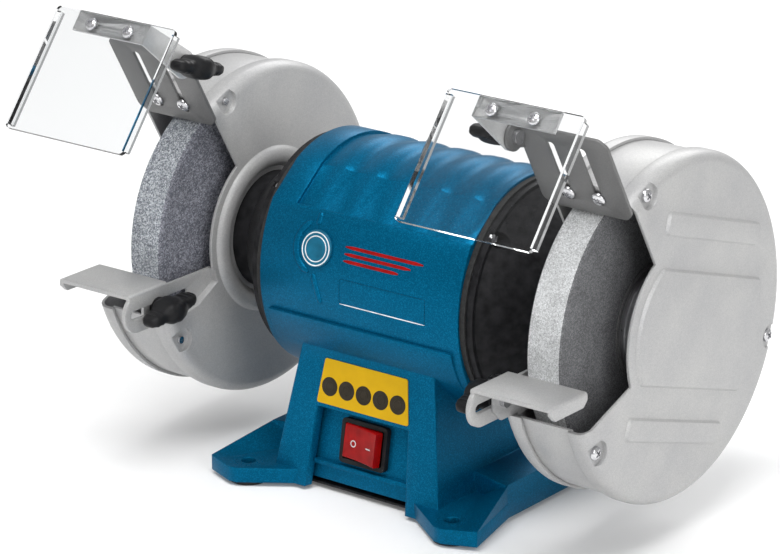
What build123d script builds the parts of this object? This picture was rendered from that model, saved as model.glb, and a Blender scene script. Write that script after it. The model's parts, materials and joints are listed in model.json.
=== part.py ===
from build123d import *
import os
from math import atan2, cos, degrees, hypot, radians, sin, sqrt

# Twin-wheel bench grinder.  Millimetres, +Z up.  The origin is the centre of the four bench-bolt holes, on
# the bench top; +X runs along the spindle to the right-hand wheel and +Y points to the back.  Everything
# outboard of the motor is drawn on the right-hand side and mirrored for the left.

# ---- driving dimensions: spindle and wheels ------------------------------------------------------------
axis_height = 141.0          # spindle centre above the bench
wheel_diameter = 200.0
wheel_width = 25.0
wheel_bore = 32.0
spindle_end_d = 16.0         # threaded ends that carry the wheels
bearing_bore = 17.0
bearing_od = 40.0
bearing_width = 12.0
ball_d = 6.8
ball_count = 8
ball_play = 0.05             # between a ball and its race or cage pocket
rotor_shaft_d = 24.0
clamp_flange_d = 74.0        # the flanges that grip the wheel
clamp_flange_t = 5.6
blotter_d = 80.0
blotter_t = 0.6
nut_across_flats = 24.0
nut_height = 10.5
thread_past_nut = 2.0

# ---- driving dimensions: motor --------------------------------------------------------------------------
housing_half_length = 80.0
housing_radius = 80.0
stator_radius = 66.0
stator_half_length = 32.0
air_gap = 0.35
rotor_radius = 38.0
slot_count = 24
fit_gap = 0.05               # between pieces that press or drop into each other
gasket_t = 4.0
gasket_radius = 77.0
bell_length = 51.0           # gasket face to the seat of the wheel guard
bell_flange_t = 5.0
bell_flange_radius = 75.5
bell_neck_radius = 40.0
tie_screw_circle = 70.5
bearing_seat_x = 108.0       # inner face of each bearing
wave_washer_t = 0.9
rib_depth = 2.4
rib_pitch = 26.0
rib_count = 5

# ---- driving dimensions: pedestal, base and feet ---------------------------------------------------------
foot_pad_height = 3.0        # rubber below the casting
foot_pad_radius = 12.5
foot_t = 10.0
base_box_height = 23.0
bolt_span_x = 167.4
bolt_span_y = 176.2
bolt_hole_d = 10.0
pedestal_top_z = 97.0
pedestal_top_x = 53.5
pedestal_top_y = 67.4
pedestal_slope = 0.157       # outward run of each pedestal face per millimetre down
casting_wall = 6.0
pocket_depth = 8.0
pocket_top_z = 59.0
pocket_half_width = 37.5
label_t = 0.6
switch_z = 40.0
switch_width = 37.0
switch_height = 30.0
rocker_width = 29.0
rocker_height = 23.0
rocker_throw = 20.0          # degrees between the two positions
rocker_play = 0.5
gland_z = 45.0
gland_hole_d = 16.0

# ---- driving dimensions: wheel guard ---------------------------------------------------------------------
guard_gap = 13.5             # wheel rim to the outside of the guard
guard_depth = 63.0
guard_wall = 2.0
guard_rim_radius = 8.0
guard_tilt = 18.0            # the mouth faces forward and up by this angle
mouth_inner_radius = 62.0
mouth_lower_angle = 200.0    # from +Y, over the top, to the lower lip
skirt_length = 14.0
band_lap = 2.0
slide_gap = 0.3              # between faces of pieces that move past each other
guard_screw_circle = 107.0
guard_screw_d = 5.0
guard_mount_circle = 30.0

# ---- driving dimensions: spark guard, eye shield, tool rest ---------------------------------------------
plate_t = 2.0
spark_angle = 120.0          # direction in which the spark guard slides, from +Y
spark_offset = 7.4           # front face of the spark guard, ahead of the spindle axis
spark_gap = 3.0
spark_length = 67.0
spark_inner_x = 131.5
spark_width = 65.5
spark_slot_pitch = 22.4
spark_screw_radius = 118.0
spark_screw_shift = 1.4      # the screws sit this far towards the motor from the middle of the guard
pivot_along = 164.0          # shield pivot, along the spark guard from the spindle axis
pivot_ahead = 12.1
ear_radius = 9.5
clamp_bolt_d = 6.0
clamp_head_d = 9.0
shield_slope = 51.95         # degrees below horizontal
shield_distance = 204.0      # front face of the shield from the spindle axis
shield_top = 56.2
shield_length = 87.6
shield_width = 100.0
shield_t = 3.0
shield_lip = 7.0
tab_length = 60.0
tab_height = 13.5
shield_screw_pitch = 31.0
shield_screw_drop = 8.1      # below the top edge of the shield
shield_screw_shift = 8.2     # towards the motor from the middle of the guard
rest_top = -10.0             # top of the tool rest, from the spindle axis
rest_gap = 5.7
rest_depth = 37.3
rest_width = 60.5
rest_t = 3.0
rest_lip_drop = 9.0
rest_slot_z = -24.5
rest_bolt_y = -115.0
knob_length = 21.0
knob_hub_radius = 8.0
knob_span = 47.0
knob_wing_t = 9.0

# ---- values that follow from them ------------------------------------------------------------------------
wheel_radius = wheel_diameter / 2
guard_radius = wheel_radius + guard_gap
bell_x = housing_half_length + gasket_t
guard_x = bell_x + bell_length
cover_x = guard_x + guard_depth
guard_mid_x = guard_x + guard_depth / 2
spark_screw_x = guard_mid_x - spark_screw_shift
shield_screw_x = guard_mid_x - shield_screw_shift
wheel_x = guard_x + 13.2
wheel_end_x = wheel_x + wheel_width
bearing_end_x = bearing_seat_x + bearing_width
band_radius = guard_radius - guard_wall - 0.1
spindle_axis = Axis((0, 0, axis_height), (1, 0, 0))
spindle_plane = Plane(origin=(0, 0, axis_height), x_dir=(1, 0, 0), z_dir=(0, -1, 0))
spark_dir = (cos(radians(spark_angle)), sin(radians(spark_angle)))
spark_normal = (-spark_dir[1], spark_dir[0])
shield_down = (-cos(radians(shield_slope)), -sin(radians(shield_slope)))
shield_normal = (shield_down[1], -shield_down[0])
pivot_y = spark_dir[0] * pivot_along + spark_normal[0] * pivot_ahead
pivot_z = spark_dir[1] * pivot_along + spark_normal[1] * pivot_ahead
rest_back_y = -(sqrt(wheel_radius ** 2 - rest_top ** 2) + rest_gap)
rest_front_y = rest_back_y - rest_depth
rest_x = guard_x + guard_wall
arm_x = rest_x + rest_t + slide_gap


def side_plane(x):
    """Plane across the spindle at x: local x is +Y, local y is up, origin on the spindle axis."""
    return Plane(origin=(x, 0, axis_height), x_dir=(0, 1, 0), z_dir=(1, 0, 0))


def guard_plane(x):
    """Plane across the spindle at x, turned with the guard: local x points out of its mouth."""
    tilt = radians(guard_tilt)
    return Plane(origin=(x, 0, axis_height), x_dir=(0, -cos(tilt), sin(tilt)), z_dir=(-1, 0, 0))


def spark_plane(ahead):
    """Plane of the spark guard: local x along the spindle, local y the way it slides."""
    origin = (0, spark_normal[0] * ahead, axis_height + spark_normal[1] * ahead)
    return Plane(origin=origin, x_dir=(1, 0, 0), z_dir=(0, spark_normal[0], spark_normal[1]))


def shield_plane(distance):
    """Plane of the eye shield: local x along the spindle, local y up the shield."""
    origin = (0, shield_normal[0] * distance, axis_height + shield_normal[1] * distance)
    return Plane(origin=origin, x_dir=(1, 0, 0), z_dir=(0, shield_normal[0], shield_normal[1]))


def polar(radius, angle):
    """Point at an angle from +Y on a side plane."""
    return (radius * cos(radians(angle)), radius * sin(radians(angle)))


def save(part, name):
    """Label a finished piece and write it."""
    part.label = name
    export_step(part, f"parts/{name}.step")


def save_pair(part, name):
    """Write a right-hand piece and its mirror image for the left."""
    save(part, f"{name}_right")
    with BuildPart() as left:
        mirror(part, about=Plane.YZ)
    save(left.part, f"{name}_left")


def save_both(part, name):
    """Write a right-hand piece and its mirror image together, as one group."""
    with BuildPart() as pair:
        add(part)
        mirror(part, about=Plane.YZ)
    save(pair.part, name)


def turned(points):
    """Solid of revolution about the spindle from (x, radius) points."""
    with BuildPart() as body:
        with BuildSketch(spindle_plane):
            with BuildLine():
                Polyline(*points, close=True)
            make_face()
        revolve(axis=spindle_axis)
    return body.part


def ring(x0, x1, outer, inner):
    """Plain ring about the spindle."""
    with BuildPart() as body:
        with BuildSketch(side_plane(x0)):
            Circle(outer)
            Circle(inner, mode=Mode.SUBTRACT)
        extrude(amount=x1 - x0)
    return body.part


os.makedirs("parts", exist_ok=True)


# ---- motor housing: barrel, pedestal, base and feet in one casting ---------------------------------------
facet_top = (-39.0, 69.8)
facet_low = (-64.6, 49.1)
waist = (-78.5, 2.0)
lower_front = (-66.0, -46.0)
facet_run = (facet_low[0] - facet_top[0], facet_low[1] - facet_top[1])
facet_width = hypot(*facet_run)
facet_angle = degrees(atan2(facet_top[1], facet_top[0]))
first_groove_x = -60.0
rib_rise_share = 0.50         # of the pitch, from a groove up to the crest
rib_crest_share = 0.24        # flat crest
front_lean = degrees(atan2(pedestal_slope, 1.0))
base_z = foot_pad_height
foot_top_z = base_z + foot_t
box_top_z = base_z + base_box_height
box_half_x = 96.4
box_half_y = 47.3
hole_x = bolt_span_x / 2
hole_y = bolt_span_y / 2
foot_tip = (109.0, -95.8)
foot_root_y = -box_half_y + 3.0
post_x = 50.0
post_y = 62.0
post_radius = 5.0
base_screw_d = 4.0
base_plate_t = 1.5
slab_low = 9.5               # the pocket's back wall stays above the bottom plate


def flipped(point):
    """The same point on the back half of the machine."""
    return (-point[0], point[1])


def pedestal_half_sizes(z):
    """Half width and half depth of the pedestal at a height above the bench."""
    run = pedestal_slope * (pedestal_top_z - z)
    return pedestal_top_x + run, pedestal_top_y + run


def front_plane(depth):
    """Plane of the pedestal's front face, sunk by depth: local y runs up the face from bench level."""
    lean = radians(front_lean)
    foot = (0, -pedestal_half_sizes(0)[1], 0)
    face = Plane(origin=foot, x_dir=(1, 0, 0), z_dir=(0, -cos(lean), sin(lean)))
    return face.offset(-depth)


def barrel_front(up):
    """Y of the barrel's smooth front at a height above the spindle axis."""
    half_chord = hypot(lower_front[0] - facet_low[0], lower_front[1] - facet_low[1]) / 2
    bulge = (facet_low[0] + lower_front[0]) / 2 - waist[0]
    arc_radius = (half_chord ** 2 + bulge ** 2) / (2 * bulge)
    return waist[0] + arc_radius - sqrt(arc_radius ** 2 - (up - waist[1]) ** 2)


def rib_points(crest):
    """Saw-tooth line (x, height) of the cooling ribs, closed above the surface."""
    points = [(first_groove_x, crest + 8)]
    for index in range(rib_count):
        groove_x = first_groove_x + index * rib_pitch
        points.append((groove_x, crest - rib_depth))
        points.append((groove_x + rib_rise_share * rib_pitch, crest))
        points.append((groove_x + (rib_rise_share + rib_crest_share) * rib_pitch, crest))
    end_x = first_groove_x + rib_count * rib_pitch
    points.append((end_x, crest - rib_depth))
    points.append((housing_half_length + 1, crest - rib_depth / 2))
    points.append((housing_half_length + 1, crest + 8))
    return points


def frustum(z_low, z_high, inset):
    """Tapered block between two heights, inset from the pedestal's faces."""
    with BuildPart() as block:
        for z in (z_low, z_high):
            half_x, half_y = pedestal_half_sizes(z)
            with BuildSketch(Plane.XY.offset(z)):
                Rectangle(2 * (half_x - inset), 2 * (half_y - inset))
        loft()
    return block.part


with BuildSketch() as barrel_outline:
    with BuildLine():
        ThreePointArc(flipped(facet_top), (0, housing_radius), facet_top)
        Line(facet_top, facet_low)
        ThreePointArc(facet_low, waist, lower_front)
        ThreePointArc(lower_front, (0, -housing_radius), flipped(lower_front))
        ThreePointArc(flipped(lower_front), flipped(waist), flipped(facet_low))
        Line(flipped(facet_low), flipped(facet_top))
    make_face()

pedestal_block = frustum(base_z, pedestal_top_z, 0)
pedestal_room = frustum(base_z, axis_height - housing_radius - 2, casting_wall)

with BuildPart() as housing:
    with BuildSketch(side_plane(-housing_half_length)):
        add(barrel_outline.sketch)
    extrude(amount=2 * housing_half_length)
    # ribs: cut across the crown and down both facets
    start = radians(180 - facet_angle)
    crown = Plane(origin=(0, 0, axis_height), x_dir=(1, 0, 0), z_dir=(0, -sin(start), cos(start)))
    with BuildSketch(crown):
        with BuildLine():
            Polyline(*rib_points(housing_radius), close=True)
        make_face()
    revolve(axis=spindle_axis, revolution_arc=2 * facet_angle - 180, mode=Mode.SUBTRACT)
    for side in (1, -1):
        run_y = side * facet_run[0]
        origin = (0, side * facet_top[0], axis_height + facet_top[1])
        facet_plane = Plane(origin=origin, x_dir=(1, 0, 0), z_dir=(0, side * run_y, side * facet_run[1]))
        with BuildSketch(facet_plane):
            with BuildLine():
                Polyline(*rib_points(0), close=True)
            make_face()
        extrude(amount=side * facet_width, mode=Mode.SUBTRACT)
    # belly band along the lower half
    with BuildSketch(side_plane(-housing_half_length + 6)):
        Circle(housing_radius + 1)
        with Locations((0, housing_radius - 22)):
            Rectangle(3 * housing_radius, 2 * housing_radius, mode=Mode.SUBTRACT)
    extrude(amount=2 * housing_half_length - 12)
    # pedestal, base box and feet
    add(pedestal_block)
    with BuildSketch(Plane.XY.offset(base_z)):
        with BuildLine():
            corner = [(box_half_x, -box_half_y), (box_half_x, box_half_y), (66, 39.5), (-66, 39.5)]
            corner += [(-box_half_x, box_half_y), (-box_half_x, -box_half_y), (-66, -39.5), (66, -39.5)]
            Polyline(*corner, close=True)
        make_face()
    extrude(amount=base_box_height)
    for sx in (1, -1):
        for sy in (1, -1):
            with BuildSketch(Plane.XY.offset(base_z)):
                with BuildLine():
                    outline = [(47.5, -80.5), (80.8, -103.9), (87, -104.7), foot_tip]
                    outline += [(box_half_x, foot_root_y), (60, foot_root_y + 8), (47.5, -60)]
                    Polyline(*[(sx * x, sy * y) for x, y in outline], close=True)
                make_face()
            extrude(amount=foot_t)
            # ramp along the outer edge, rising to the base box
            front = [(100, foot_top_z), (foot_tip[0], foot_top_z), (foot_tip[0], foot_top_z + 0.4)]
            rear = [(73.5, foot_top_z), (box_half_x, foot_top_z), (box_half_x, box_top_z)]
            for y, shape in ((foot_tip[1], front), (-box_half_y + 2, rear)):
                with BuildSketch(Plane(origin=(0, sy * y, 0), x_dir=(1, 0, 0), z_dir=(0, -1, 0))):
                    with BuildLine():
                        Polyline(*[(sx * x, z) for x, z in shape], close=True)
                    make_face()
            loft(ruled=True)
    # the room for the motor, and the hollow pedestal below it
    with BuildSketch(side_plane(-housing_half_length)):
        Circle(stator_radius)
    extrude(amount=2 * housing_half_length, mode=Mode.SUBTRACT)
    add(pedestal_room, mode=Mode.SUBTRACT)
    for sx in (1, -1):
        with BuildSketch(Plane.XY.offset(base_z)):
            with Locations((sx * (box_half_x - casting_wall - 9), 0)):
                Rectangle(18, 2 * (box_half_y - casting_wall - 4))
        extrude(amount=base_box_height - casting_wall, mode=Mode.SUBTRACT)
    # switch pocket, its back wall, the ledge under the switch and the opening for the switch body
    with BuildSketch(front_plane(pocket_depth)):
        with Locations((0, (pocket_top_z + slab_low) / 2)):
            Rectangle(2 * pocket_half_width + 16, pocket_top_z - slab_low)
    extrude(amount=-casting_wall)
    with BuildSketch(front_plane(0)):
        with BuildLine():
            low = pocket_half_width + 5
            corners = [(-pocket_half_width, pocket_top_z), (pocket_half_width, pocket_top_z)]
            Polyline(*corners, (low, -12), (-low, -12), close=True)
        make_face()
    extrude(amount=-pocket_depth, taper=14, mode=Mode.SUBTRACT)
    with BuildSketch(front_plane(pocket_depth)):
        with Locations((0, 21)):
            Rectangle(2 * pocket_half_width + 2, 3)
    extrude(amount=4)
    with BuildSketch(front_plane(pocket_depth)):
        with Locations((0, switch_z)):
            Rectangle(switch_width - 2, switch_height - 2.4)
    extrude(amount=-casting_wall - 2, mode=Mode.SUBTRACT)
    # posts for the bottom plate
    post_z = base_z + base_plate_t + 0.2
    with BuildSketch(Plane.XY.offset(post_z)):
        with GridLocations(2 * post_x, 2 * post_y, 2, 2):
            Circle(post_radius)
    extrude(amount=axis_height - housing_radius - post_z + 1)
    with BuildSketch(Plane.XY.offset(post_z)):
        with GridLocations(2 * post_x, 2 * post_y, 2, 2):
            Circle(base_screw_d / 2 + fit_gap)
    extrude(amount=12, mode=Mode.SUBTRACT)
    # bench-bolt holes, wire duct, gland hole and tapped holes for the end bells
    with BuildSketch(Plane.XY):
        with GridLocations(bolt_span_x, bolt_span_y, 2, 2):
            Circle(bolt_hole_d / 2)
    extrude(amount=foot_top_z + 1, mode=Mode.SUBTRACT)
    with BuildSketch(Plane.XY.offset(axis_height - housing_radius - 10)):
        Circle(8)
    extrude(amount=30, mode=Mode.SUBTRACT)
    with BuildSketch(Plane.XZ.offset(-pedestal_half_sizes(gland_z)[1] - 5)):
        with Locations((0, gland_z)):
            Circle(gland_hole_d / 2)
    extrude(amount=casting_wall + 12, mode=Mode.SUBTRACT)
    for sx in (1, -1):
        with BuildSketch(side_plane(sx * housing_half_length)):
            with PolarLocations(tie_screw_circle, 4, start_angle=45):
                Circle(2.5 + fit_gap)
        extrude(amount=-sx * 18, mode=Mode.SUBTRACT)
save(housing.part, "motor_housing")


def screw(plane, head_d, head_h, shank_d, shank_length, socket=0.0):
    """Button-head screw: the plane is the seat of its head, and its shank runs against the plane's normal."""
    with BuildPart() as piece:
        with BuildSketch(plane):
            Circle(head_d / 2)
        extrude(amount=head_h)
        with BuildSketch(plane):
            Circle(shank_d / 2)
        extrude(amount=-shank_length)
        if socket:
            with BuildSketch(plane.offset(head_h)):
                RegularPolygon(socket / 2, 6)
            extrude(amount=-head_h * 0.55, mode=Mode.SUBTRACT)
    return piece.part


def group(parts):
    """Several separate solids kept together as one node."""
    with BuildPart() as together:
        for part in parts:
            add(part)
    return together.part


# ---- end bells, sealing rings and tie screws -----------------------------------------------------------
tie_screw_d = 5.0
tie_head_d = 8.5
tie_head_h = 3.0
spigot_length = 6.0
spigot_wall = 3.5
neck_start_x = guard_x - 17.0
hub_radius = 13.0
pocket_floor_x = bell_x + 1.5


def end_bell(pocket_end):
    """Cast cover with a conical wall, the bearing pocket and the neck that carries the wheel guard."""
    cone_x = bell_x + bell_flange_t
    spigot_r = stator_radius - fit_gap
    bearing_r = bearing_od / 2 + fit_gap
    pocket_start = bearing_seat_x - 2
    outline = [(bell_x - spigot_length - gasket_t, spigot_r), (bell_x, spigot_r)]
    outline += [(bell_x, bell_flange_radius), (cone_x, bell_flange_radius)]
    outline += [(cone_x, bell_flange_radius - 2.5)]
    outline += [(neck_start_x, bell_neck_radius + 6), (neck_start_x + 1.5, bell_neck_radius)]
    outline += [(guard_x, bell_neck_radius), (guard_x, hub_radius + 1.5), (pocket_end, hub_radius + 1.5)]
    outline += [(pocket_end, bearing_r), (pocket_start, bearing_r), (pocket_start, bell_neck_radius + 3)]
    outline += [(cone_x - 1, stator_radius - spigot_wall)]
    outline += [(bell_x - spigot_length - gasket_t, stator_radius - spigot_wall)]
    with BuildPart() as bell:
        add(turned(outline))
        with BuildSketch(side_plane(pocket_floor_x)):
            with PolarLocations(tie_screw_circle, 4, start_angle=45):
                Circle(tie_head_d / 2 + 1)
        extrude(amount=30, mode=Mode.SUBTRACT)
        with BuildSketch(side_plane(bell_x)):
            with PolarLocations(tie_screw_circle, 4, start_angle=45):
                Circle(tie_screw_d / 2 + fit_gap)
        extrude(amount=10, mode=Mode.SUBTRACT)
        with BuildSketch(side_plane(guard_x)):
            with PolarLocations(guard_mount_circle, 3, start_angle=90):
                Circle(guard_screw_d / 2 + fit_gap)
        extrude(amount=-13, mode=Mode.SUBTRACT)
    return bell.part


save(end_bell(bearing_end_x), "end_bell_right")
with BuildPart() as bell_left:
    mirror(end_bell(bearing_end_x + wave_washer_t), about=Plane.YZ)
save(bell_left.part, "end_bell_left")

with BuildPart() as gasket:
    add(ring(housing_half_length, bell_x, gasket_radius, stator_radius + fit_gap))
    with BuildSketch(side_plane(housing_half_length)):
        with PolarLocations(tie_screw_circle, 4, start_angle=45):
            Circle(tie_screw_d / 2 + fit_gap)
    extrude(amount=gasket_t, mode=Mode.SUBTRACT)
save_both(gasket.part, "bell_gaskets")

tie_screws = []
for angle in (45, 135, 225, 315):
    y, z = polar(tie_screw_circle, angle)
    seat = Plane(origin=(pocket_floor_x, y, axis_height + z), x_dir=(0, 1, 0), z_dir=(1, 0, 0))
    tie_screws.append(screw(seat, tie_head_d, tie_head_h, tie_screw_d, 20, socket=4.0))
save_both(group(tie_screws), "bell_screws")

# ---- motor: stator, windings, rotor --------------------------------------------------------------------
slot_inner = rotor_radius + air_gap + 2.0
slot_outer = 54.0
slot_width = 4.6
slot_mouth = 2.0
coil_gap = 0.3
coil_overhang = 20.0
rotor_ring_length = 9.0

with BuildPart() as stator:
    with BuildSketch(side_plane(-stator_half_length)):
        Circle(stator_radius - fit_gap)
        Circle(rotor_radius + air_gap, mode=Mode.SUBTRACT)
        with PolarLocations((slot_inner + slot_outer) / 2, slot_count):
            Rectangle(slot_outer - slot_inner, slot_width, mode=Mode.SUBTRACT)
        with PolarLocations(slot_inner, slot_count):
            Rectangle(2 * slot_mouth + 2, slot_mouth, mode=Mode.SUBTRACT)
    extrude(amount=2 * stator_half_length)
save(stator.part, "stator_core")

with BuildPart() as windings:
    with BuildSketch(side_plane(-stator_half_length - 2)):
        with PolarLocations((slot_inner + slot_outer) / 2, slot_count):
            Rectangle(slot_outer - slot_inner - 2 * coil_gap, slot_width - 2 * coil_gap)
    extrude(amount=2 * stator_half_length + 4)
    for sx in (1, -1):
        with BuildSketch(spindle_plane):
            coil_x = sx * (stator_half_length + 1 + coil_overhang / 2)
            with Locations((coil_x, (slot_inner + slot_outer) / 2)):
                RectangleRounded(coil_overhang, slot_outer - slot_inner + 3, 4)
        revolve(axis=spindle_axis)
save(windings.part, "stator_windings")

save(ring(-stator_half_length, stator_half_length, rotor_radius, rotor_shaft_d / 2), "rotor_core")

with BuildPart() as end_ring:
    add(ring(stator_half_length, stator_half_length + rotor_ring_length, rotor_radius - 2, rotor_radius - 14))
    with BuildSketch(side_plane(stator_half_length + rotor_ring_length)):
        with PolarLocations(rotor_radius - 8, 9):
            Rectangle(9, 1.8)
    extrude(amount=7)
save_both(end_ring.part, "rotor_end_rings")

# ---- spindle and its bearings --------------------------------------------------------------------------
wheel_seat_x = guard_x + 4.0
flange_start_x = wheel_x - blotter_t - clamp_flange_t
flange_end_x = wheel_end_x + blotter_t + clamp_flange_t
nut_end_x = flange_end_x + nut_height
spindle_end_x = nut_end_x + thread_past_nut
shoulder_r = bearing_bore / 2 + 2.5
end_r = spindle_end_d / 2
shaft_half = [(stator_half_length + 18, rotor_shaft_d / 2), (stator_half_length + 18, shoulder_r)]
shaft_half += [(bearing_seat_x, shoulder_r), (bearing_seat_x, bearing_bore / 2)]
shaft_half += [(wheel_seat_x, bearing_bore / 2), (wheel_seat_x, end_r)]
shaft_half += [(spindle_end_x - 1.5, end_r), (spindle_end_x, end_r - 1.5), (spindle_end_x, 0)]
save(turned([(-x, r) for x, r in reversed(shaft_half)] + shaft_half), "spindle_shaft")

pitch_r = (bearing_bore + bearing_od) / 4
race_wall = 3.4
groove_r = ball_d / 2 + ball_play
bearing_mid_x = bearing_seat_x + bearing_width / 2


def race(outer, inner):
    """Bearing ring with its ball groove."""
    with BuildPart() as body:
        add(ring(bearing_seat_x, bearing_end_x, outer, inner))
        with BuildSketch(spindle_plane):
            with Locations((bearing_mid_x, pitch_r)):
                Circle(groove_r)
        revolve(axis=spindle_axis, mode=Mode.SUBTRACT)
    return body.part


save_both(race(bearing_bore / 2 + race_wall, bearing_bore / 2), "bearing_inner_rings")
save_both(race(bearing_od / 2, bearing_od / 2 - race_wall), "bearing_outer_rings")

ball_spots = []
for index in range(ball_count):
    y, z = polar(pitch_r, index * 360 / ball_count)
    ball_spots.append((bearing_mid_x, y, axis_height + z))
with BuildPart() as cage:
    add(ring(bearing_mid_x - 4.3, bearing_mid_x + 4.3, pitch_r + 1.1, pitch_r - 1.1))
    with Locations(*ball_spots):
        Sphere(groove_r, mode=Mode.SUBTRACT)
with BuildPart() as balls:
    with Locations(*ball_spots):
        Sphere(ball_d / 2)
save_pair(group([cage.part, balls.part]), "bearing_balls")

with BuildPart() as washer:
    washer_start = -bearing_end_x - wave_washer_t + fit_gap
    add(ring(washer_start, -bearing_end_x - fit_gap, bearing_od / 2 - 0.5, bearing_od / 2 - 4))
save(washer.part, "wave_washer")

# ---- wheels and what clamps them -----------------------------------------------------------------------
flange_r = clamp_flange_d / 2
relief = 1.2
hub_end_x = bearing_end_x + 0.2
inner_flange = [(hub_end_x, hub_radius), (flange_start_x, hub_radius)]
inner_flange += [(flange_start_x, flange_r - 2), (flange_start_x + 2, flange_r)]
inner_flange += [(wheel_x - blotter_t, flange_r), (wheel_x - blotter_t, flange_r - 10)]
inner_flange += [(wheel_x - blotter_t - relief, flange_r - 11), (wheel_x - blotter_t - relief, end_r)]
inner_flange += [(wheel_seat_x, end_r), (wheel_seat_x, bearing_bore / 2), (hub_end_x, bearing_bore / 2)]
save_both(turned(inner_flange), "inner_flanges")

face_x = wheel_end_x + blotter_t
outer_flange = [(face_x, flange_r), (flange_end_x - 2, flange_r), (flange_end_x, flange_r - 2)]
outer_flange += [(flange_end_x, end_r), (face_x + relief, end_r), (face_x + relief, flange_r - 11)]
outer_flange += [(face_x, flange_r - 10)]
save_both(turned(outer_flange), "outer_flanges")

with BuildPart() as nut:
    with BuildSketch(side_plane(flange_end_x)):
        RegularPolygon(nut_across_flats / 2, 6, major_radius=False)
        Circle(end_r, mode=Mode.SUBTRACT)
    extrude(amount=nut_height)
    chamfer(nut.edges().filter_by(GeomType.LINE).group_by(Axis.X)[-1], 0.8)
save_pair(nut.part, "spindle_nut")

with BuildPart() as wheel:
    add(ring(wheel_x, wheel_end_x, wheel_radius, wheel_bore / 2))
    chamfer(wheel.edges().filter_by(GeomType.CIRCLE).group_by(SortBy.RADIUS)[-1], 0.6)
save_pair(wheel.part, "grinding_wheel")
save_both(ring(wheel_x, wheel_end_x, wheel_bore / 2, end_r), "wheel_bushings")
blotters = [ring(wheel_x - blotter_t, wheel_x, blotter_d / 2, wheel_bore / 2 + 2)]
blotters.append(ring(wheel_end_x, wheel_end_x + blotter_t, blotter_d / 2, wheel_bore / 2 + 2))
save_both(group(blotters), "wheel_blotters")

# ---- wheel guard: inner dish, band and outer cover -----------------------------------------------------
dimple_radius = 8.5
dimple_depth = 3.5
emboss_height = 2.0
bar_near = 57.0
bar_far = 72.5
bar_front = 46.0
bar_back = 66.0
panel_half_height = 37.3
panel_front_radius = 54.5
panel_back_radius = 87.0
bead_outer = 57.0
bead_inner = 43.0
bead_height = 4.0
mouth_edge_offset = 3.6      # upper lip of the mouth, ahead of the spindle axis
guard_screw_angles = (113.5, -18.0, -149.5)
skirt_x = guard_x + skirt_length
cover_skirt_x = cover_x - skirt_length
arm_top = rest_top - rest_t - slide_gap
arm_low = -37.5
arm_front_y = rest_bolt_y - 10.0
arm_back_y = -59.0
mouth_near = mouth_inner_radius / 2
mouth_far = 2 * guard_radius


def mouth_upper(distance):
    """Point on the upper lip of the mouth, at a distance along it from the spindle axis."""
    y = spark_dir[0] * distance + spark_normal[0] * mouth_edge_offset
    return (y, spark_dir[1] * distance + spark_normal[1] * mouth_edge_offset)


def mouth_sketch(lower_points):
    """Open mouth of the guard: outside the lobe, between the upper lip and the given lower lip."""
    with BuildSketch() as mouth:
        with BuildLine():
            points = [mouth_upper(mouth_near), mouth_upper(mouth_far), (-mouth_far, mouth_far)]
            Polyline(*points, *lower_points, close=True)
        make_face()
        Circle(mouth_inner_radius, mode=Mode.SUBTRACT)
    return mouth.sketch


def cup(sign, face_x, skirt_end_x, wall, inset):
    """Solid of a guard half: a disc with a rounded rim, its face at face_x, inset by a wall."""
    rim = guard_rim_radius
    outer = guard_radius - inset
    face = face_x + sign * inset
    bend_x = face_x + sign * rim
    arc_r = rim - inset
    with BuildPart() as body:
        with BuildSketch(spindle_plane):
            with BuildLine():
                Line((face, 0), (face, outer - arc_r))
                RadiusArc((face, outer - arc_r), (bend_x, outer), sign * arc_r)
                Line((bend_x, outer), (skirt_end_x, outer))
                Line((skirt_end_x, outer), (skirt_end_x, 0))
                Line((skirt_end_x, 0), (face, 0))
            make_face()
        revolve(axis=spindle_axis)
        # dimples for the three long screws
        with BuildSketch(side_plane(face)):
            for angle in guard_screw_angles:
                with Locations(polar(guard_screw_circle, angle)):
                    Circle(dimple_radius + inset)
        extrude(amount=sign * dimple_depth, mode=Mode.SUBTRACT)
    return body.part


def shell(sign, face_x, skirt_end_x):
    """Pressed sheet half of the guard."""
    with BuildPart() as body:
        add(cup(sign, face_x, skirt_end_x, guard_wall, 0))
        add(cup(sign, face_x, skirt_end_x + sign * 1, guard_wall, guard_wall), mode=Mode.SUBTRACT)
    return body.part


def guard_screw_holes():
    """Sketch of the three screw holes."""
    with BuildSketch() as holes:
        for angle in guard_screw_angles:
            with Locations(polar(guard_screw_circle, angle)):
                Circle(guard_screw_d / 2 + fit_gap)
    return holes.sketch


screw_holes = guard_screw_holes()
lower_lip = [polar(mouth_far, mouth_lower_angle), polar(mouth_near, mouth_lower_angle)]
cover_mouth = mouth_sketch(lower_lip)
dish_mouth = mouth_sketch([(-mouth_far, arm_top), (-mouth_near, arm_top)])

# the arm of the inner dish that carries the tool rest
with BuildSketch() as arm_outline:
    with BuildLine():
        arm_points = [(arm_back_y, arm_top), (arm_front_y, arm_top), (arm_front_y, arm_low + 8)]
        arm_points += [(arm_front_y + 8, arm_low), (-98, arm_low), (-76, -34), (arm_back_y + 3, -23)]
        Polyline(*arm_points, close=True)
    make_face()
with BuildSketch() as arm_slot:
    slot_back_y = -81.0
    slot_front_y = rest_bolt_y - clamp_bolt_d / 2 - 1
    with Locations(((slot_back_y + slot_front_y) / 2, rest_slot_z)):
        SlotOverall(slot_back_y - slot_front_y, clamp_bolt_d + 0.4)

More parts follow.
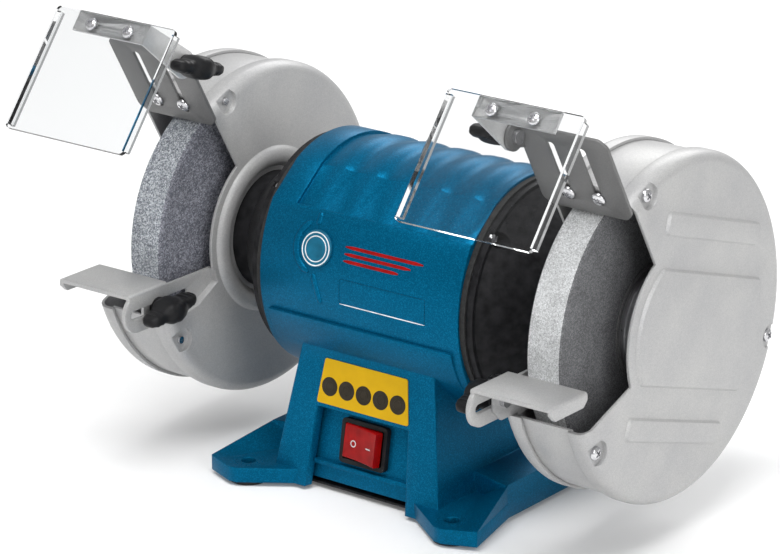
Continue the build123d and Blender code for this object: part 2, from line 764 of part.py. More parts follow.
with BuildPart() as dish:
    add(shell(1, guard_x, skirt_x))
    add(ring(guard_x, guard_x + guard_wall, bead_outer, bell_neck_radius - 12))
    # raised bead around the neck of the end bell
    with BuildSketch(spindle_plane):
        with BuildLine():
            Line((guard_x, bead_inner), (guard_x, bead_outer))
            bead_top = (guard_x - bead_height, (bead_inner + bead_outer) / 2)
            ThreePointArc((guard_x, bead_outer), bead_top, (guard_x, bead_inner))
        make_face()
    revolve(axis=spindle_axis)
    with BuildSketch(side_plane(guard_x - 10)):
        add(dish_mouth)
    extrude(amount=guard_depth, mode=Mode.SUBTRACT)
    # joggled arm
    with BuildSketch(side_plane(guard_x - 1)):
        add(arm_outline.sketch)
    extrude(amount=skirt_length + 2, mode=Mode.SUBTRACT)
    with BuildSketch(side_plane(arm_x)):
        add(arm_outline.sketch)
    extrude(amount=guard_wall)
    with BuildSketch(side_plane(guard_x)):
        offset(arm_outline.sketch, amount=guard_wall)
        add(arm_outline.sketch, mode=Mode.SUBTRACT)
        with Locations((-mouth_far - 100, 0)):
            Rectangle(2 * mouth_far, 2 * mouth_far, mode=Mode.SUBTRACT)
        with Locations((0, arm_top + 50)):
            Rectangle(4 * mouth_far, 100, mode=Mode.SUBTRACT)
    extrude(amount=arm_x + guard_wall - guard_x)
    with BuildSketch(side_plane(arm_x - 1)):
        add(arm_slot.sketch)
    extrude(amount=guard_wall + 2, mode=Mode.SUBTRACT)
    # bore for the flange hub, holes for the mounting screws and the long screws
    with BuildSketch(side_plane(guard_x - 5)):
        Circle(hub_radius + 1.5)
        with PolarLocations(guard_mount_circle, 3, start_angle=90):
            Circle(guard_screw_d / 2 + fit_gap)
        add(screw_holes)
    extrude(amount=20, mode=Mode.SUBTRACT)
save_pair(dish.part, "guard_inner_dish")

with BuildPart() as band:
    band_start_x = skirt_x - band_lap
    band_end_x = cover_skirt_x + band_lap
    with BuildSketch(side_plane(band_start_x)):
        Circle(band_radius)
        Circle(band_radius - 1.6, mode=Mode.SUBTRACT)
        add(cover_mouth, mode=Mode.SUBTRACT)
    extrude(amount=band_end_x - band_start_x)
    # outward flange behind the spark guard
    flange_front = spark_offset - plate_t - 0.1
    with BuildSketch(spark_plane(flange_front)):
        with Locations((guard_mid_x, (band_radius - 1.4 + spark_screw_radius + 8) / 2)):
            Rectangle(cover_skirt_x - skirt_x - 1, spark_screw_radius + 8 - band_radius + 1.4)
    extrude(amount=-(flange_front - mouth_edge_offset + 1.6))
    with BuildSketch(spark_plane(flange_front + 1)):
        with Locations((spark_screw_x, spark_screw_radius)):
            with GridLocations(spark_slot_pitch, 1, 2, 1):
                Circle(2.5 + fit_gap)
    extrude(amount=-8, mode=Mode.SUBTRACT)
save_pair(band.part, "guard_band")

with BuildPart() as cover:
    add(shell(-1, cover_x, cover_skirt_x))
    with BuildSketch(guard_plane(cover_x)):
        with Locations(((bar_front - bar_back) / 2, (bar_near + bar_far) / 2)):
            RectangleRounded(bar_front + bar_back, bar_far - bar_near, 4)
        with Locations(((bar_front - bar_back) / 2, -(bar_near + bar_far) / 2)):
            RectangleRounded(bar_front + bar_back, bar_far - bar_near, 4)
    extrude(amount=-emboss_height, taper=35)
    with BuildSketch(guard_plane(cover_x)) as panel:
        with BuildLine():
            front_x = sqrt(panel_front_radius ** 2 - panel_half_height ** 2)
            back_x = -sqrt(panel_back_radius ** 2 - panel_half_height ** 2)
            Line((back_x, panel_half_height), (front_x, panel_half_height))
            high = panel_half_height
            ThreePointArc((front_x, high), (panel_front_radius, 0), (front_x, -high))
            Line((front_x, -high), (back_x, -high))
            ThreePointArc((back_x, -high), (-panel_back_radius, 0), (back_x, high))
        make_face()
        fillet(panel.vertices(), 4)
    extrude(amount=-emboss_height, taper=35)
    with BuildSketch(side_plane(cover_skirt_x - 5)):
        add(cover_mouth)
        add(screw_holes)
    extrude(amount=skirt_length + 12, mode=Mode.SUBTRACT)
save_pair(cover.part, "guard_outer_cover")

# screws: three long ones through each guard, three short ones that hold each dish to its end bell
cover_seat_x = cover_x - dimple_depth
dish_seat_x = guard_x + dimple_depth
long_screws = []
for angle in guard_screw_angles:
    y, z = polar(guard_screw_circle, angle)
    seat = Plane(origin=(cover_seat_x, y, axis_height + z), x_dir=(0, 1, 0), z_dir=(1, 0, 0))
    long_screws.append(screw(seat, 9.0, 3.2, guard_screw_d, cover_seat_x - dish_seat_x + 2, socket=4.0))
save_both(group(long_screws), "guard_cover_screws")
mount_screws = []
for angle in (90, 210, 330):
    y, z = polar(guard_mount_circle, angle)
    seat = Plane(origin=(guard_x + guard_wall, y, axis_height + z), x_dir=(0, 1, 0), z_dir=(1, 0, 0))
    mount_screws.append(screw(seat, 9.0, 2.4, guard_screw_d, 13, socket=3.5))
save_both(group(mount_screws), "guard_mount_screws")

# ---- spark guard: slotted plate with an ear for the shield ---------------------------------------------
spark_low = wheel_radius + spark_gap
spark_high = spark_low + spark_length
spark_mid_x = spark_inner_x + spark_width / 2
slot_low = spark_screw_radius - 6.5
slot_high = spark_high - 10
holder_x = spark_inner_x - plate_t - slide_gap

with BuildPart() as spark:
    with BuildSketch(spark_plane(spark_offset)) as plate:
        with Locations((spark_mid_x, (spark_low + spark_high) / 2)):
            Rectangle(spark_width, spark_length)
        chamfer(plate.vertices().group_by(Axis.Z)[0], 5)
        fillet(plate.vertices().group_by(Axis.Z)[-1], 5)
        with Locations((spark_screw_x, (slot_low + slot_high) / 2)):
            with GridLocations(spark_slot_pitch, 1, 2, 1):
                SlotOverall(slot_high - slot_low, 5.4, rotation=90, mode=Mode.SUBTRACT)
    extrude(amount=-plate_t)
    # ear, bent forward from the motor-side edge
    with BuildSketch(side_plane(spark_inner_x)):
        with BuildLine():
            ear_back = spark_offset - plate_t
            along = []
            ear_points = [(-ear_radius - 6, ear_back), (-ear_radius, pivot_ahead), (ear_radius - 2, ear_back)]
            for reach, ahead in ear_points:
                y = spark_dir[0] * (pivot_along + reach) + spark_normal[0] * ahead
                z = spark_dir[1] * (pivot_along + reach) + spark_normal[1] * ahead
                along.append((y, z))
            Polyline(*along, close=True)
        make_face()
        with Locations((pivot_y, pivot_z)):
            Circle(ear_radius)
    extrude(amount=plate_t)
    # nothing of the ear stands behind the plate
    with BuildSketch(spark_plane(spark_offset - plate_t)):
        with Locations((spark_mid_x, spark_high)):
            Rectangle(2 * spark_width, 3 * ear_radius)
    extrude(amount=-30, mode=Mode.SUBTRACT)
    with BuildSketch(side_plane(spark_inner_x - 1)):
        with Locations((pivot_y, pivot_z)):
            Circle(clamp_bolt_d / 2 + fit_gap)
    extrude(amount=plate_t + 2, mode=Mode.SUBTRACT)
save_pair(spark.part, "spark_guard")

spark_screws = []
for offset_x in (-spark_slot_pitch / 2, spark_slot_pitch / 2):
    frame = spark_plane(spark_offset + 0.05)
    centre = frame.from_local_coords((spark_screw_x + offset_x, spark_screw_radius, 0))
    seat = Plane(origin=centre, x_dir=(1, 0, 0), z_dir=frame.z_dir)
    spark_screws.append(screw(seat, 9.5, 3.0, 4.9, 10, socket=3.0))
save_both(group(spark_screws), "spark_guard_screws")

# ---- eye shield, its holder, screws and clamp ----------------------------------------------------------
shield_mid_x = guard_mid_x - 9.5
shield_back = shield_distance - shield_t
tab_back = shield_back - plate_t
shield_end_y = -(shield_length - shield_top)


def shield_point(distance, up):
    """Point (y, z) on a side plane from the shield's own distance and height."""
    y = shield_normal[0] * distance - shield_down[0] * up
    return (y, shield_normal[1] * distance - shield_down[1] * up)


with BuildPart() as shield:
    with BuildSketch(shield_plane(shield_distance)) as pane:
        with Locations((shield_mid_x, (shield_top + shield_end_y) / 2)):
            RectangleRounded(shield_width, shield_length, 3)
    extrude(amount=-shield_t)
    for side in (1, -1):
        with BuildSketch(shield_plane(shield_back)):
            lip_x = shield_mid_x + side * (shield_width - shield_t) / 2
            with Locations((lip_x, (shield_top + shield_end_y) / 2)):
                Rectangle(shield_t, shield_length - 6)
        extrude(amount=-(shield_lip - shield_t))
    with BuildSketch(shield_plane(shield_distance + 1)):
        with Locations((shield_screw_x, shield_top - shield_screw_drop)):
            with GridLocations(shield_screw_pitch, 1, 2, 1):
                Circle(2.0 + fit_gap)
    extrude(amount=-shield_t - 2, mode=Mode.SUBTRACT)
save_pair(shield.part, "eye_shield")

with BuildPart() as holder:
    with BuildSketch(shield_plane(shield_back)):
        with Locations((holder_x + tab_length / 2, shield_top - tab_height / 2)):
            Rectangle(tab_length, tab_height)
    extrude(amount=-plate_t)
    with BuildSketch(side_plane(holder_x)):
        tab_top = shield_point(shield_back, shield_top)
        tab_low = shield_point(shield_back, shield_top - tab_height)
        with BuildLine():
            Line(tab_top, tab_low)
            Line(tab_low, shield_point(tab_back - 1, shield_top - tab_height))
            Line(shield_point(tab_back - 1, shield_top - tab_height), tab_top)
        make_face()
        with Locations((pivot_y, pivot_z)):
            Circle(ear_radius)
        make_hull()
    extrude(amount=plate_t)
    with BuildSketch(side_plane(holder_x - 1)):
        with Locations((pivot_y, pivot_z)):
            Circle(clamp_bolt_d / 2 + fit_gap)
    extrude(amount=plate_t + 2, mode=Mode.SUBTRACT)
    with BuildSketch(shield_plane(shield_distance + 1)):
        with Locations((shield_screw_x, shield_top - shield_screw_drop)):
            with GridLocations(shield_screw_pitch, 1, 2, 1):
                Circle(2.0 + fit_gap)
    extrude(amount=-12, mode=Mode.SUBTRACT)
save_pair(holder.part, "shield_holder")

shield_screws = []
for offset_x in (-shield_screw_pitch / 2, shield_screw_pitch / 2):
    frame = shield_plane(shield_distance)
    centre = frame.from_local_coords((shield_screw_x + offset_x, shield_top - shield_screw_drop, 0))
    seat = Plane(origin=centre, x_dir=(1, 0, 0), z_dir=frame.z_dir)
    shield_screws.append(screw(seat, 8.5, 2.8, 4.0, 9, socket=3.0))
save_pair(group(shield_screws), "shield_screws")


def clamp_bolt(head_x, end_x, y, z):
    """Bolt along the spindle direction: its head at head_x, its plain end towards the motor."""
    seat = Plane(origin=(head_x, y, axis_height + z), x_dir=(0, 1, 0), z_dir=(1, 0, 0))
    return screw(seat, clamp_head_d, 3.2, clamp_bolt_d, head_x - end_x)


def wing_knob(seat_x, y, z, turn):
    """Moulded knob: a hub on the bolt and two ribbed wings."""
    with BuildPart() as body:
        seat = Plane(origin=(seat_x, y, axis_height + z), x_dir=(0, 1, 0), z_dir=(-1, 0, 0))
        with BuildSketch(seat):
            Circle(knob_hub_radius)
        extrude(amount=knob_length)
        chamfer(body.edges().filter_by(GeomType.CIRCLE).group_by(Axis.X)[0], 1)
        with BuildSketch(seat.offset(2.5)) as wings:
            SlotOverall(knob_span, knob_wing_t, rotation=turn)
        extrude(amount=knob_length - 7)
        with BuildSketch(seat):
            Circle(clamp_bolt_d / 2 + fit_gap)
        extrude(amount=knob_length - 5, mode=Mode.SUBTRACT)
    return body.part


shield_knob_x = holder_x - fit_gap
rest_knob_x = rest_x - fit_gap
save_pair(clamp_bolt(spark_inner_x + plate_t, shield_knob_x - 14, pivot_y, pivot_z), "shield_clamp_bolt")
save_pair(wing_knob(shield_knob_x, pivot_y, pivot_z, 15), "shield_knob")

# ---- tool rest -----------------------------------------------------------------------------------------
rest_flange_low = arm_low + 2 * slide_gap
lobe_radius = 13.0
rest_slot_back = rest_bolt_y + 8.0
rest_slot_front = rest_bolt_y - 26.0

with BuildPart() as rest:
    with BuildSketch(Plane.XY.offset(axis_height + rest_top)):
        with Locations((rest_x + rest_width / 2, (rest_back_y + rest_front_y) / 2)):
            Rectangle(rest_width, rest_depth)
    extrude(amount=-rest_t)
    with BuildSketch(side_plane(rest_x + rest_width - rest_t)):
        with BuildLine():
            top = rest_top - rest_t
            low = rest_top - rest_lip_drop
            points = [(rest_back_y, top), (rest_back_y, low + 4), (rest_back_y - 4, low)]
            points += [(rest_front_y + 4, low), (rest_front_y, low + 4), (rest_front_y, top)]
            Polyline(*points, close=True)
        make_face()
    extrude(amount=rest_t)
    with BuildSketch(side_plane(rest_x)):
        with BuildLine():
            top = rest_top - rest_t
            points = [(rest_back_y, top), (rest_back_y, rest_flange_low)]
            points += [(rest_front_y + 8, rest_flange_low), (rest_front_y, top)]
            Polyline(*points, close=True)
        make_face()
        with Locations((rest_front_y + lobe_radius - 4.5, rest_flange_low + lobe_radius)):
            Circle(lobe_radius)
        with Locations((0, top + 50)):
            Rectangle(4 * mouth_far, 100, mode=Mode.SUBTRACT)
        with Locations(((rest_slot_back + rest_slot_front) / 2, rest_slot_z)):
            SlotOverall(rest_slot_back - rest_slot_front, clamp_bolt_d + 0.4, mode=Mode.SUBTRACT)
    extrude(amount=rest_t)
    fillet(rest.edges().filter_by(Axis.Y).group_by(Axis.Z)[-1], 2)
save_pair(rest.part, "tool_rest")
save_both(clamp_bolt(arm_x + guard_wall, rest_knob_x - 14, rest_bolt_y, rest_slot_z), "rest_clamp_bolts")
save_pair(wing_knob(rest_knob_x, rest_bolt_y, rest_slot_z, -8), "rest_knob")

# ---- rocker switch --------------------------------------------------------------------------------------
bezel_t = 4.0
body_depth = 22.0
bezel_depth = pocket_depth - bezel_t
pivot_depth = bezel_depth + 3.0
well_half_x = rocker_width / 2 + 1.3
well_half_y = rocker_height / 2 + rocker_play
pin_r = 1.2
pin_play = 0.25
pin_length = 1.2
rocker_rise = 6.4            # from the pivot to the rocker's outer edges
rocker_frame = front_plane(pivot_depth)
rocker_up = rocker_frame.y_dir


def rocker_plane(up, turn):
    """Plane across the rocker's pivot: local x along the spindle, local y into the switch."""
    flat = Plane(origin=rocker_frame.from_local_coords((0, up, 0)), x_dir=(1, 0, 0), z_dir=rocker_up)
    return flat.rotated((0, 0, turn))


with BuildPart() as switch_body:
    with BuildSketch(front_plane(pocket_depth)):
        with Locations((0, switch_z)):
            RectangleRounded(switch_width, switch_height, 3)
    extrude(amount=bezel_t)
    with BuildSketch(front_plane(pocket_depth)):
        with Locations((0, switch_z)):
            Rectangle(switch_width - 2.6, switch_height - 3)
    extrude(amount=-body_depth)
    with BuildSketch(front_plane(bezel_depth)):
        with Locations((0, switch_z)):
            Rectangle(2 * well_half_x, 2 * well_half_y)
    extrude(amount=-9.5, mode=Mode.SUBTRACT)
    with BuildSketch(rocker_plane(switch_z - rocker_height / 2 - pin_length - 0.2, 0)):
        Circle(pin_r + pin_play)
    extrude(amount=rocker_height + 2 * pin_length + 0.4, mode=Mode.SUBTRACT)
    for offset_x in (-9, 0, 9):
        with BuildSketch(front_plane(pocket_depth + body_depth)):
            with Locations((offset_x, switch_z)):
                Rectangle(0.8, 6.3)
        extrude(amount=-8)
save(switch_body.part, "switch_body")

with BuildPart() as rocker:
    with BuildSketch(rocker_plane(switch_z - rocker_height / 2, -rocker_throw / 2)):
        with BuildLine():
            half = rocker_width / 2
            ThreePointArc((-half, -rocker_rise), (0, -rocker_rise + 1.4), (half, -rocker_rise))
            Polyline((half, -rocker_rise), (half, -0.4), (half / 2, 4), (-half / 2, 4), (-half, -0.4))
            Line((-half, -0.4), (-half, -rocker_rise))
        make_face()
    extrude(amount=rocker_height)
    fillet(rocker.edges().filter_by(GeomType.CIRCLE), 1)
    with BuildSketch(rocker_plane(switch_z - rocker_height / 2 - pin_length, 0)):
        Circle(pin_r)
    extrude(amount=rocker_height + 2 * pin_length)
save(rocker.part, "switch_rocker")

# ---- bottom plate, rubber feet, label and badge ----------------------------------------------------------
plate_gap = 0.8
plate_half_x = pedestal_half_sizes(base_z)[0] - casting_wall - plate_gap
plate_half_y = pedestal_half_sizes(base_z)[1] - pocket_depth - 2.0
plate_low = post_z - base_plate_t

with BuildPart() as bottom:
    with BuildSketch(Plane.XY.offset(plate_low)):
        RectangleRounded(2 * plate_half_x, 2 * plate_half_y, 4)
        with GridLocations(2 * post_x, 2 * post_y, 2, 2):
            Circle(base_screw_d / 2 + fit_gap, mode=Mode.SUBTRACT)
        with GridLocations(12, 1, 5, 1):
            SlotOverall(50, 4, rotation=90, mode=Mode.SUBTRACT)
    extrude(amount=base_plate_t)
save(bottom.part, "base_plate")

base_screws = []
for x in (-post_x, post_x):
    for y in (-post_y, post_y):
        seat = Plane(origin=(x, y, plate_low), x_dir=(1, 0, 0), z_dir=(0, 0, -1))
        base_screws.append(screw(seat, 7.5, 2.2, base_screw_d, 10, socket=2.5))
save(group(base_screws), "base_screws")

with BuildPart() as pads:
    with BuildSketch(Plane.XY):
        with GridLocations(bolt_span_x, bolt_span_y, 2, 2):
            Circle(foot_pad_radius)
            Circle(bolt_hole_d / 2, mode=Mode.SUBTRACT)
    extrude(amount=foot_pad_height)
save(pads.part, "rubber_feet")

label_low = 61.6
label_high = 91.8
label_half_low = 37.4
label_half_high = 33.4
with BuildPart() as label:
    with BuildSketch(front_plane(0)) as plate:
        with BuildLine():
            corners = [(-label_half_low, label_low), (label_half_low, label_low)]
            Polyline(*corners, (label_half_high, label_high), (-label_half_high, label_high), close=True)
        make_face()
        fillet(plate.vertices(), 1.5)
    extrude(amount=label_t)
save(label.part, "front_label")

badge_x = -35.0
badge_up = 26.0
badge_radius = 12.0
badge_height = 1.2           # above the barrel at its centre
badge_slope = 16.0           # degrees that its face leans back, with the barrel
badge_y = barrel_front(badge_up)
badge_centre = (badge_x, badge_y, axis_height + badge_up)
badge_normal = (0, -cos(radians(badge_slope)), sin(radians(badge_slope)))
badge_plane = Plane(origin=badge_centre, x_dir=(1, 0, 0), z_dir=badge_normal)
with BuildPart() as badge:
    with BuildSketch(badge_plane.offset(badge_height)):
        Circle(badge_radius)
    extrude(amount=-4)
    chamfer(badge.edges().filter_by(GeomType.CIRCLE).group_by(Axis.Y)[0], 0.4)
    with BuildSketch(side_plane(badge_x - badge_radius - 1)):
        add(barrel_outline.sketch)
    extrude(amount=2 * badge_radius + 2, mode=Mode.SUBTRACT)
save(badge.part, "badge_disc")

# ---- cord gland, capacitor and terminals inside the pedestal ---------------------------------------------
gland_body_r = gland_hole_d / 2 - fit_gap
gland_y = pedestal_half_sizes(gland_z)[1]
gland_bore_r = 4.0
with BuildPart() as gland:
    with BuildSketch(Plane.XZ.offset(-gland_y - 13)):
        with Locations((0, gland_z)):
            Circle(gland_body_r)
    extrude(amount=13 + casting_wall + 8)
    with BuildSketch(Plane.XZ.offset(-gland_y - 3.5)):
        with Locations((0, gland_z)):
            RegularPolygon(11, 6)
    extrude(amount=-4)
    with BuildSketch(Plane.XZ.offset(-gland_y + casting_wall + 1.5)):
        with Locations((0, gland_z)):
            RegularPolygon(11, 6)
    extrude(amount=4)
    with BuildSketch(Plane.XZ.offset(-gland_y - 14)):
        with Locations((0, gland_z)):
            Circle(gland_bore_r)
    extrude(amount=40, mode=Mode.SUBTRACT)
save(gland.part, "cable_gland")

capacitor_r = 15.0
capacitor_length = 60.0
capacitor_z = plate_low + base_plate_t + 17.5
capacitor_y = 40.0
with BuildPart() as capacitor:
    with BuildSketch(Plane.YZ.offset(-capacitor_length / 2)):
        with Locations((capacitor_y, capacitor_z)):
            Circle(capacitor_r)
    extrude(amount=capacitor_length)
    fillet(capacitor.edges().filter_by(GeomType.CIRCLE), 2)
    with BuildSketch(Plane.YZ.offset(capacitor_length / 2)):
        with Locations((capacitor_y - 5, capacitor_z), (capacitor_y + 5, capacitor_z)):
            Rectangle(0.8, 6.3)
    extrude(amount=8)
save(capacitor.part, "run_capacitor")

clamp_w = 18.0
plate_top = plate_low + base_plate_t
with BuildPart() as clamp:
    with BuildSketch(Plane.YZ.offset(-clamp_w / 2)):
        with Locations((capacitor_y, capacitor_z)):
            Circle(capacitor_r + 1.2)
        with Locations((capacitor_y, plate_top + 1)):
            Rectangle(2 * capacitor_r + 20, 2)
        with Locations((capacitor_y, (plate_top + capacitor_z) / 2)):
            Rectangle(2 * capacitor_r + 2.4, capacitor_z - plate_top)
        with Locations((capacitor_y, capacitor_z)):
            Circle(capacitor_r, mode=Mode.SUBTRACT)
        with Locations((capacitor_y, capacitor_z - capacitor_r)):
            Rectangle(2 * capacitor_r, 2 * 2.5 - 1.2, mode=Mode.SUBTRACT)
    extrude(amount=clamp_w)
save(clamp.part, "capacitor_clamp")

block_size = (44.0, 16.0, 12.0)
block_y = -15.0
with BuildPart() as terminals:
    with BuildSketch(Plane.XY.offset(plate_top)):
        with Locations((0, block_y)):
            Rectangle(block_size[0], block_size[1])
    extrude(amount=block_size[2])
    with BuildSketch(Plane.XY.offset(plate_top + block_size[2])):
        with Locations((0, block_y)):
            with GridLocations(10, 9, 4, 2):
                Circle(2)
    extrude(amount=-6, mode=Mode.SUBTRACT)
save(terminals.part, "terminal_block")
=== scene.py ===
import json
import math

import bmesh
import bpy
import numpy as np
from mathutils import Matrix, Vector, noise


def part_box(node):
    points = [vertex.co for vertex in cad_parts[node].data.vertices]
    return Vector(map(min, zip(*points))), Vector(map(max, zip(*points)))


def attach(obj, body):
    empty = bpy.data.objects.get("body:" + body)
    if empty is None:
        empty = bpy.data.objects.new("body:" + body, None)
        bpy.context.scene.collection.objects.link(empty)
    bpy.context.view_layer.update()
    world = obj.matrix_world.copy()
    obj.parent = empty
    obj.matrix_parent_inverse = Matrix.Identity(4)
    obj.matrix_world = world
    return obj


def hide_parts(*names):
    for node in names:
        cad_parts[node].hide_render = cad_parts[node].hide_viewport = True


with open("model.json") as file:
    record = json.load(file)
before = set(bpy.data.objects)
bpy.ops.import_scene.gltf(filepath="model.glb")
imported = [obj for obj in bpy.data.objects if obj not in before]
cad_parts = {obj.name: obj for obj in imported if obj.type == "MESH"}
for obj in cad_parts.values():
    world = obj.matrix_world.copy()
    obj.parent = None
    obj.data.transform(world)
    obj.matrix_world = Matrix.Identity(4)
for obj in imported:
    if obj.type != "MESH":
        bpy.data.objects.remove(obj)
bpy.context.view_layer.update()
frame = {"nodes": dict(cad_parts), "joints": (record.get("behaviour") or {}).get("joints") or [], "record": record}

bl_info = {
    "name": "Bench grinder",
    "version": (1, 0, 0),
    "blender": (4, 5, 0),
    "location": "3D View > Sidebar > Grinder",
    "description": "Finishes, fittings and a plain studio for a twin-wheel bench grinder",
    "category": "Add Mesh",
}

MM = 0.001
NODES = frame["nodes"]
JOINTS = {joint["name"]: joint for joint in frame["joints"]}
SIDES = (("left", -1.0), ("right", 1.0))
AXIS_Z = JOINTS["spindle_spin"]["pos_m"][2]
X_AXIS = Vector((1, 0, 0))


# ---- sizes and colours a user may change ----------------------------------------------------------------
class GrinderFinish(bpy.types.PropertyGroup):
    """Colours and surface detail of the finishes."""

    enamel: bpy.props.FloatVectorProperty(
        name="Enamel", description="Body colour of the motor casting", subtype="COLOR",
        size=3, min=0, max=1, default=(0.0, 0.088, 0.182))
    enamel_fleck: bpy.props.FloatVectorProperty(
        name="Enamel fleck", description="Colour of the metallic flecks in the enamel", subtype="COLOR",
        size=3, min=0, max=1, default=(0.005, 0.22, 0.42))
    silver: bpy.props.FloatVectorProperty(
        name="Silver paint", description="Colour of guards, rests and brackets", subtype="COLOR",
        size=3, min=0, max=1, default=(0.43, 0.43, 0.43))
    casting_black: bpy.props.FloatVectorProperty(
        name="Black casting", description="Colour of the end bells", subtype="COLOR",
        size=3, min=0, max=1, default=(0.010, 0.010, 0.011))
    label_yellow: bpy.props.FloatVectorProperty(
        name="Plate yellow", description="Colour of the plate above the switch", subtype="COLOR",
        size=3, min=0, max=1, default=(0.60, 0.355, 0.003))
    switch_red: bpy.props.FloatVectorProperty(
        name="Switch red", description="Colour of the rocker", subtype="COLOR",
        size=3, min=0, max=1, default=(0.28, 0.002, 0.002))
    grain_coarse: bpy.props.FloatProperty(
        name="Coarse grain", description="Size of the grains of the left wheel", subtype="DISTANCE",
        unit="LENGTH", min=0.0002, default=0.85 * MM)
    grain_fine: bpy.props.FloatProperty(
        name="Fine grain", description="Size of the grains of the right wheel", subtype="DISTANCE",
        unit="LENGTH", min=0.0002, default=0.7 * MM)
    paint_edge: bpy.props.FloatProperty(
        name="Paint edge", description="Rounding of painted sheet edges", subtype="DISTANCE",
        unit="LENGTH", min=0.0, default=0.6 * MM)
    casting_edge: bpy.props.FloatProperty(
        name="Casting edge", description="Rounding of the casting's edges", subtype="DISTANCE",
        unit="LENGTH", min=0.0, default=1.2 * MM)


class GrinderFittings(bpy.types.PropertyGroup):
    """Sizes of the screws, knobs and marks."""

    grit_relief: bpy.props.FloatProperty(
        name="Grit relief", description="Height of the wheel's grains", subtype="DISTANCE",
        unit="LENGTH", min=0.0, default=0.16 * MM)
    wing_ribs: bpy.props.IntProperty(
        name="Wing ribs", description="Grip ribs on each wing of a knob", min=0, default=3)
    ring_dots: bpy.props.IntProperty(
        name="Foot dots", description="Dots in the inner ring round each foot hole", min=3, default=9)


class GrinderStage(bpy.types.PropertyGroup):
    """Camera and light."""

    lens: bpy.props.FloatProperty(
        name="Lens", description="Focal length", subtype="DISTANCE_CAMERA", unit="CAMERA",
        min=10, default=173.9)
    camera_place: bpy.props.FloatVectorProperty(
        name="Camera", description="Where the camera stands", subtype="TRANSLATION", unit="LENGTH",
        size=3, default=(1.3989, -1.8637, 0.9371))
    azimuth: bpy.props.FloatProperty(
        name="Azimuth", description="Turn of the camera to the left", subtype="ANGLE", unit="ROTATION",
        default=math.radians(37.55))
    elevation: bpy.props.FloatProperty(
        name="Elevation", description="How far the camera looks down", subtype="ANGLE", unit="ROTATION",
        default=math.radians(19.01))
    world_light: bpy.props.FloatProperty(
        name="Surround", description="Strength of the white surround", min=0, default=0.52)
    key_light: bpy.props.FloatProperty(
        name="Key light", description="Strength of the large light above", subtype="POWER", unit="POWER",
        min=0, default=33.0)


# ---- materials ------------------------------------------------------------------------------------------
class Finish:
    """One node material, built step by step."""

    def __init__(self, name, colour, roughness, metallic=0.0):
        self.material = bpy.data.materials.new(name)
        self.material.use_nodes = True
        self.tree = self.material.node_tree
        self.shader = self.tree.nodes["Principled BSDF"]
        self.place = self.tree.nodes.new("ShaderNodeTexCoord").outputs["Object"]
        self.shader.inputs["Base Color"].default_value = tuple(colour) + (1.0,)
        self.shader.inputs["Roughness"].default_value = roughness
        self.shader.inputs["Metallic"].default_value = metallic

    def set(self, **values):
        """Set shader sockets that hold one value all over, by their names with _ for a space."""
        for name, value in values.items():
            self.shader.inputs[name.replace("_", " ")].default_value = value
        return self

    def node(self, kind, inputs=None, **settings):
        made = self.tree.nodes.new(kind)
        for name, value in settings.items():
            setattr(made, name, value)
        for name, value in (inputs or {}).items():
            if isinstance(value, bpy.types.NodeSocket):
                self.tree.links.new(value, made.inputs[name])
            else:
                made.inputs[name].default_value = value
        return made

    def grain(self, size, detail=2.0, stretch=(1, 1, 1)):
        """Noise whose features are about size metres across."""
        mapping = self.node("ShaderNodeMapping", {"Vector": self.place, "Scale": stretch})
        inputs = {"Vector": mapping.outputs["Vector"], "Scale": 1.0 / size, "Detail": detail}
        return self.node("ShaderNodeTexNoise", inputs).outputs["Fac"]

    def cells(self, size, feature="F1", output="Distance"):
        """Cellular pattern whose cells are about size metres across."""
        inputs = {"Vector": self.place, "Scale": 1.0 / size}
        return self.node("ShaderNodeTexVoronoi", inputs, feature=feature).outputs[output]

    def ramp(self, value, stops):
        """Map a value through (position, colour) stops."""
        made = self.node("ShaderNodeValToRGB", {"Fac": value})
        band = made.color_ramp
        while len(band.elements) < len(stops):
            band.elements.new(0.5)
        for element, (position, colour) in zip(band.elements, stops):
            element.position = position
            element.color = tuple(colour) + (1.0,) if len(colour) == 3 else colour
        return made.outputs["Color"]

    def mix(self, share, first, second, blend="MIX"):
        """Mix two colours by a share between 0 and 1."""
        made = self.node("ShaderNodeMix", data_type="RGBA", blend_type=blend)
        for index, value in ((0, share), (6, first), (7, second)):
            if isinstance(value, bpy.types.NodeSocket):
                self.tree.links.new(value, made.inputs[index])
            elif index:
                made.inputs[index].default_value = tuple(value)[:3] + (1.0,)
            else:
                made.inputs[index].default_value = value
        return made.outputs[2]

    def paint(self, socket):
        self.tree.links.new(socket, self.shader.inputs["Base Color"])
        return self

    def rough(self, value, low, high):
        """Let the roughness follow a value between two limits."""
        spread = {"Value": value, "To Min": low, "To Max": high}
        made = self.node("ShaderNodeMapRange", spread)
        self.tree.links.new(made.outputs["Result"], self.shader.inputs["Roughness"])
        return self

    def bump(self, height, strength, distance, round_edge=0.0):
        """Relief from a height, on normals that are rounded at edges by round_edge metres."""
        inputs = {"Height": height, "Strength": strength, "Distance": distance}
        if round_edge:
            soft = self.node("ShaderNodeBevel", {"Radius": round_edge}, samples=4)
            inputs["Normal"] = soft.outputs["Normal"]
        made = self.node("ShaderNodeBump", inputs)
        self.tree.links.new(made.outputs["Normal"], self.shader.inputs["Normal"])
        return self


def grey(value):
    """A neutral colour."""
    return (value, value, value)


def scaled(colour, share):
    """A colour made lighter or darker by a share."""
    return tuple(share * channel for channel in colour)


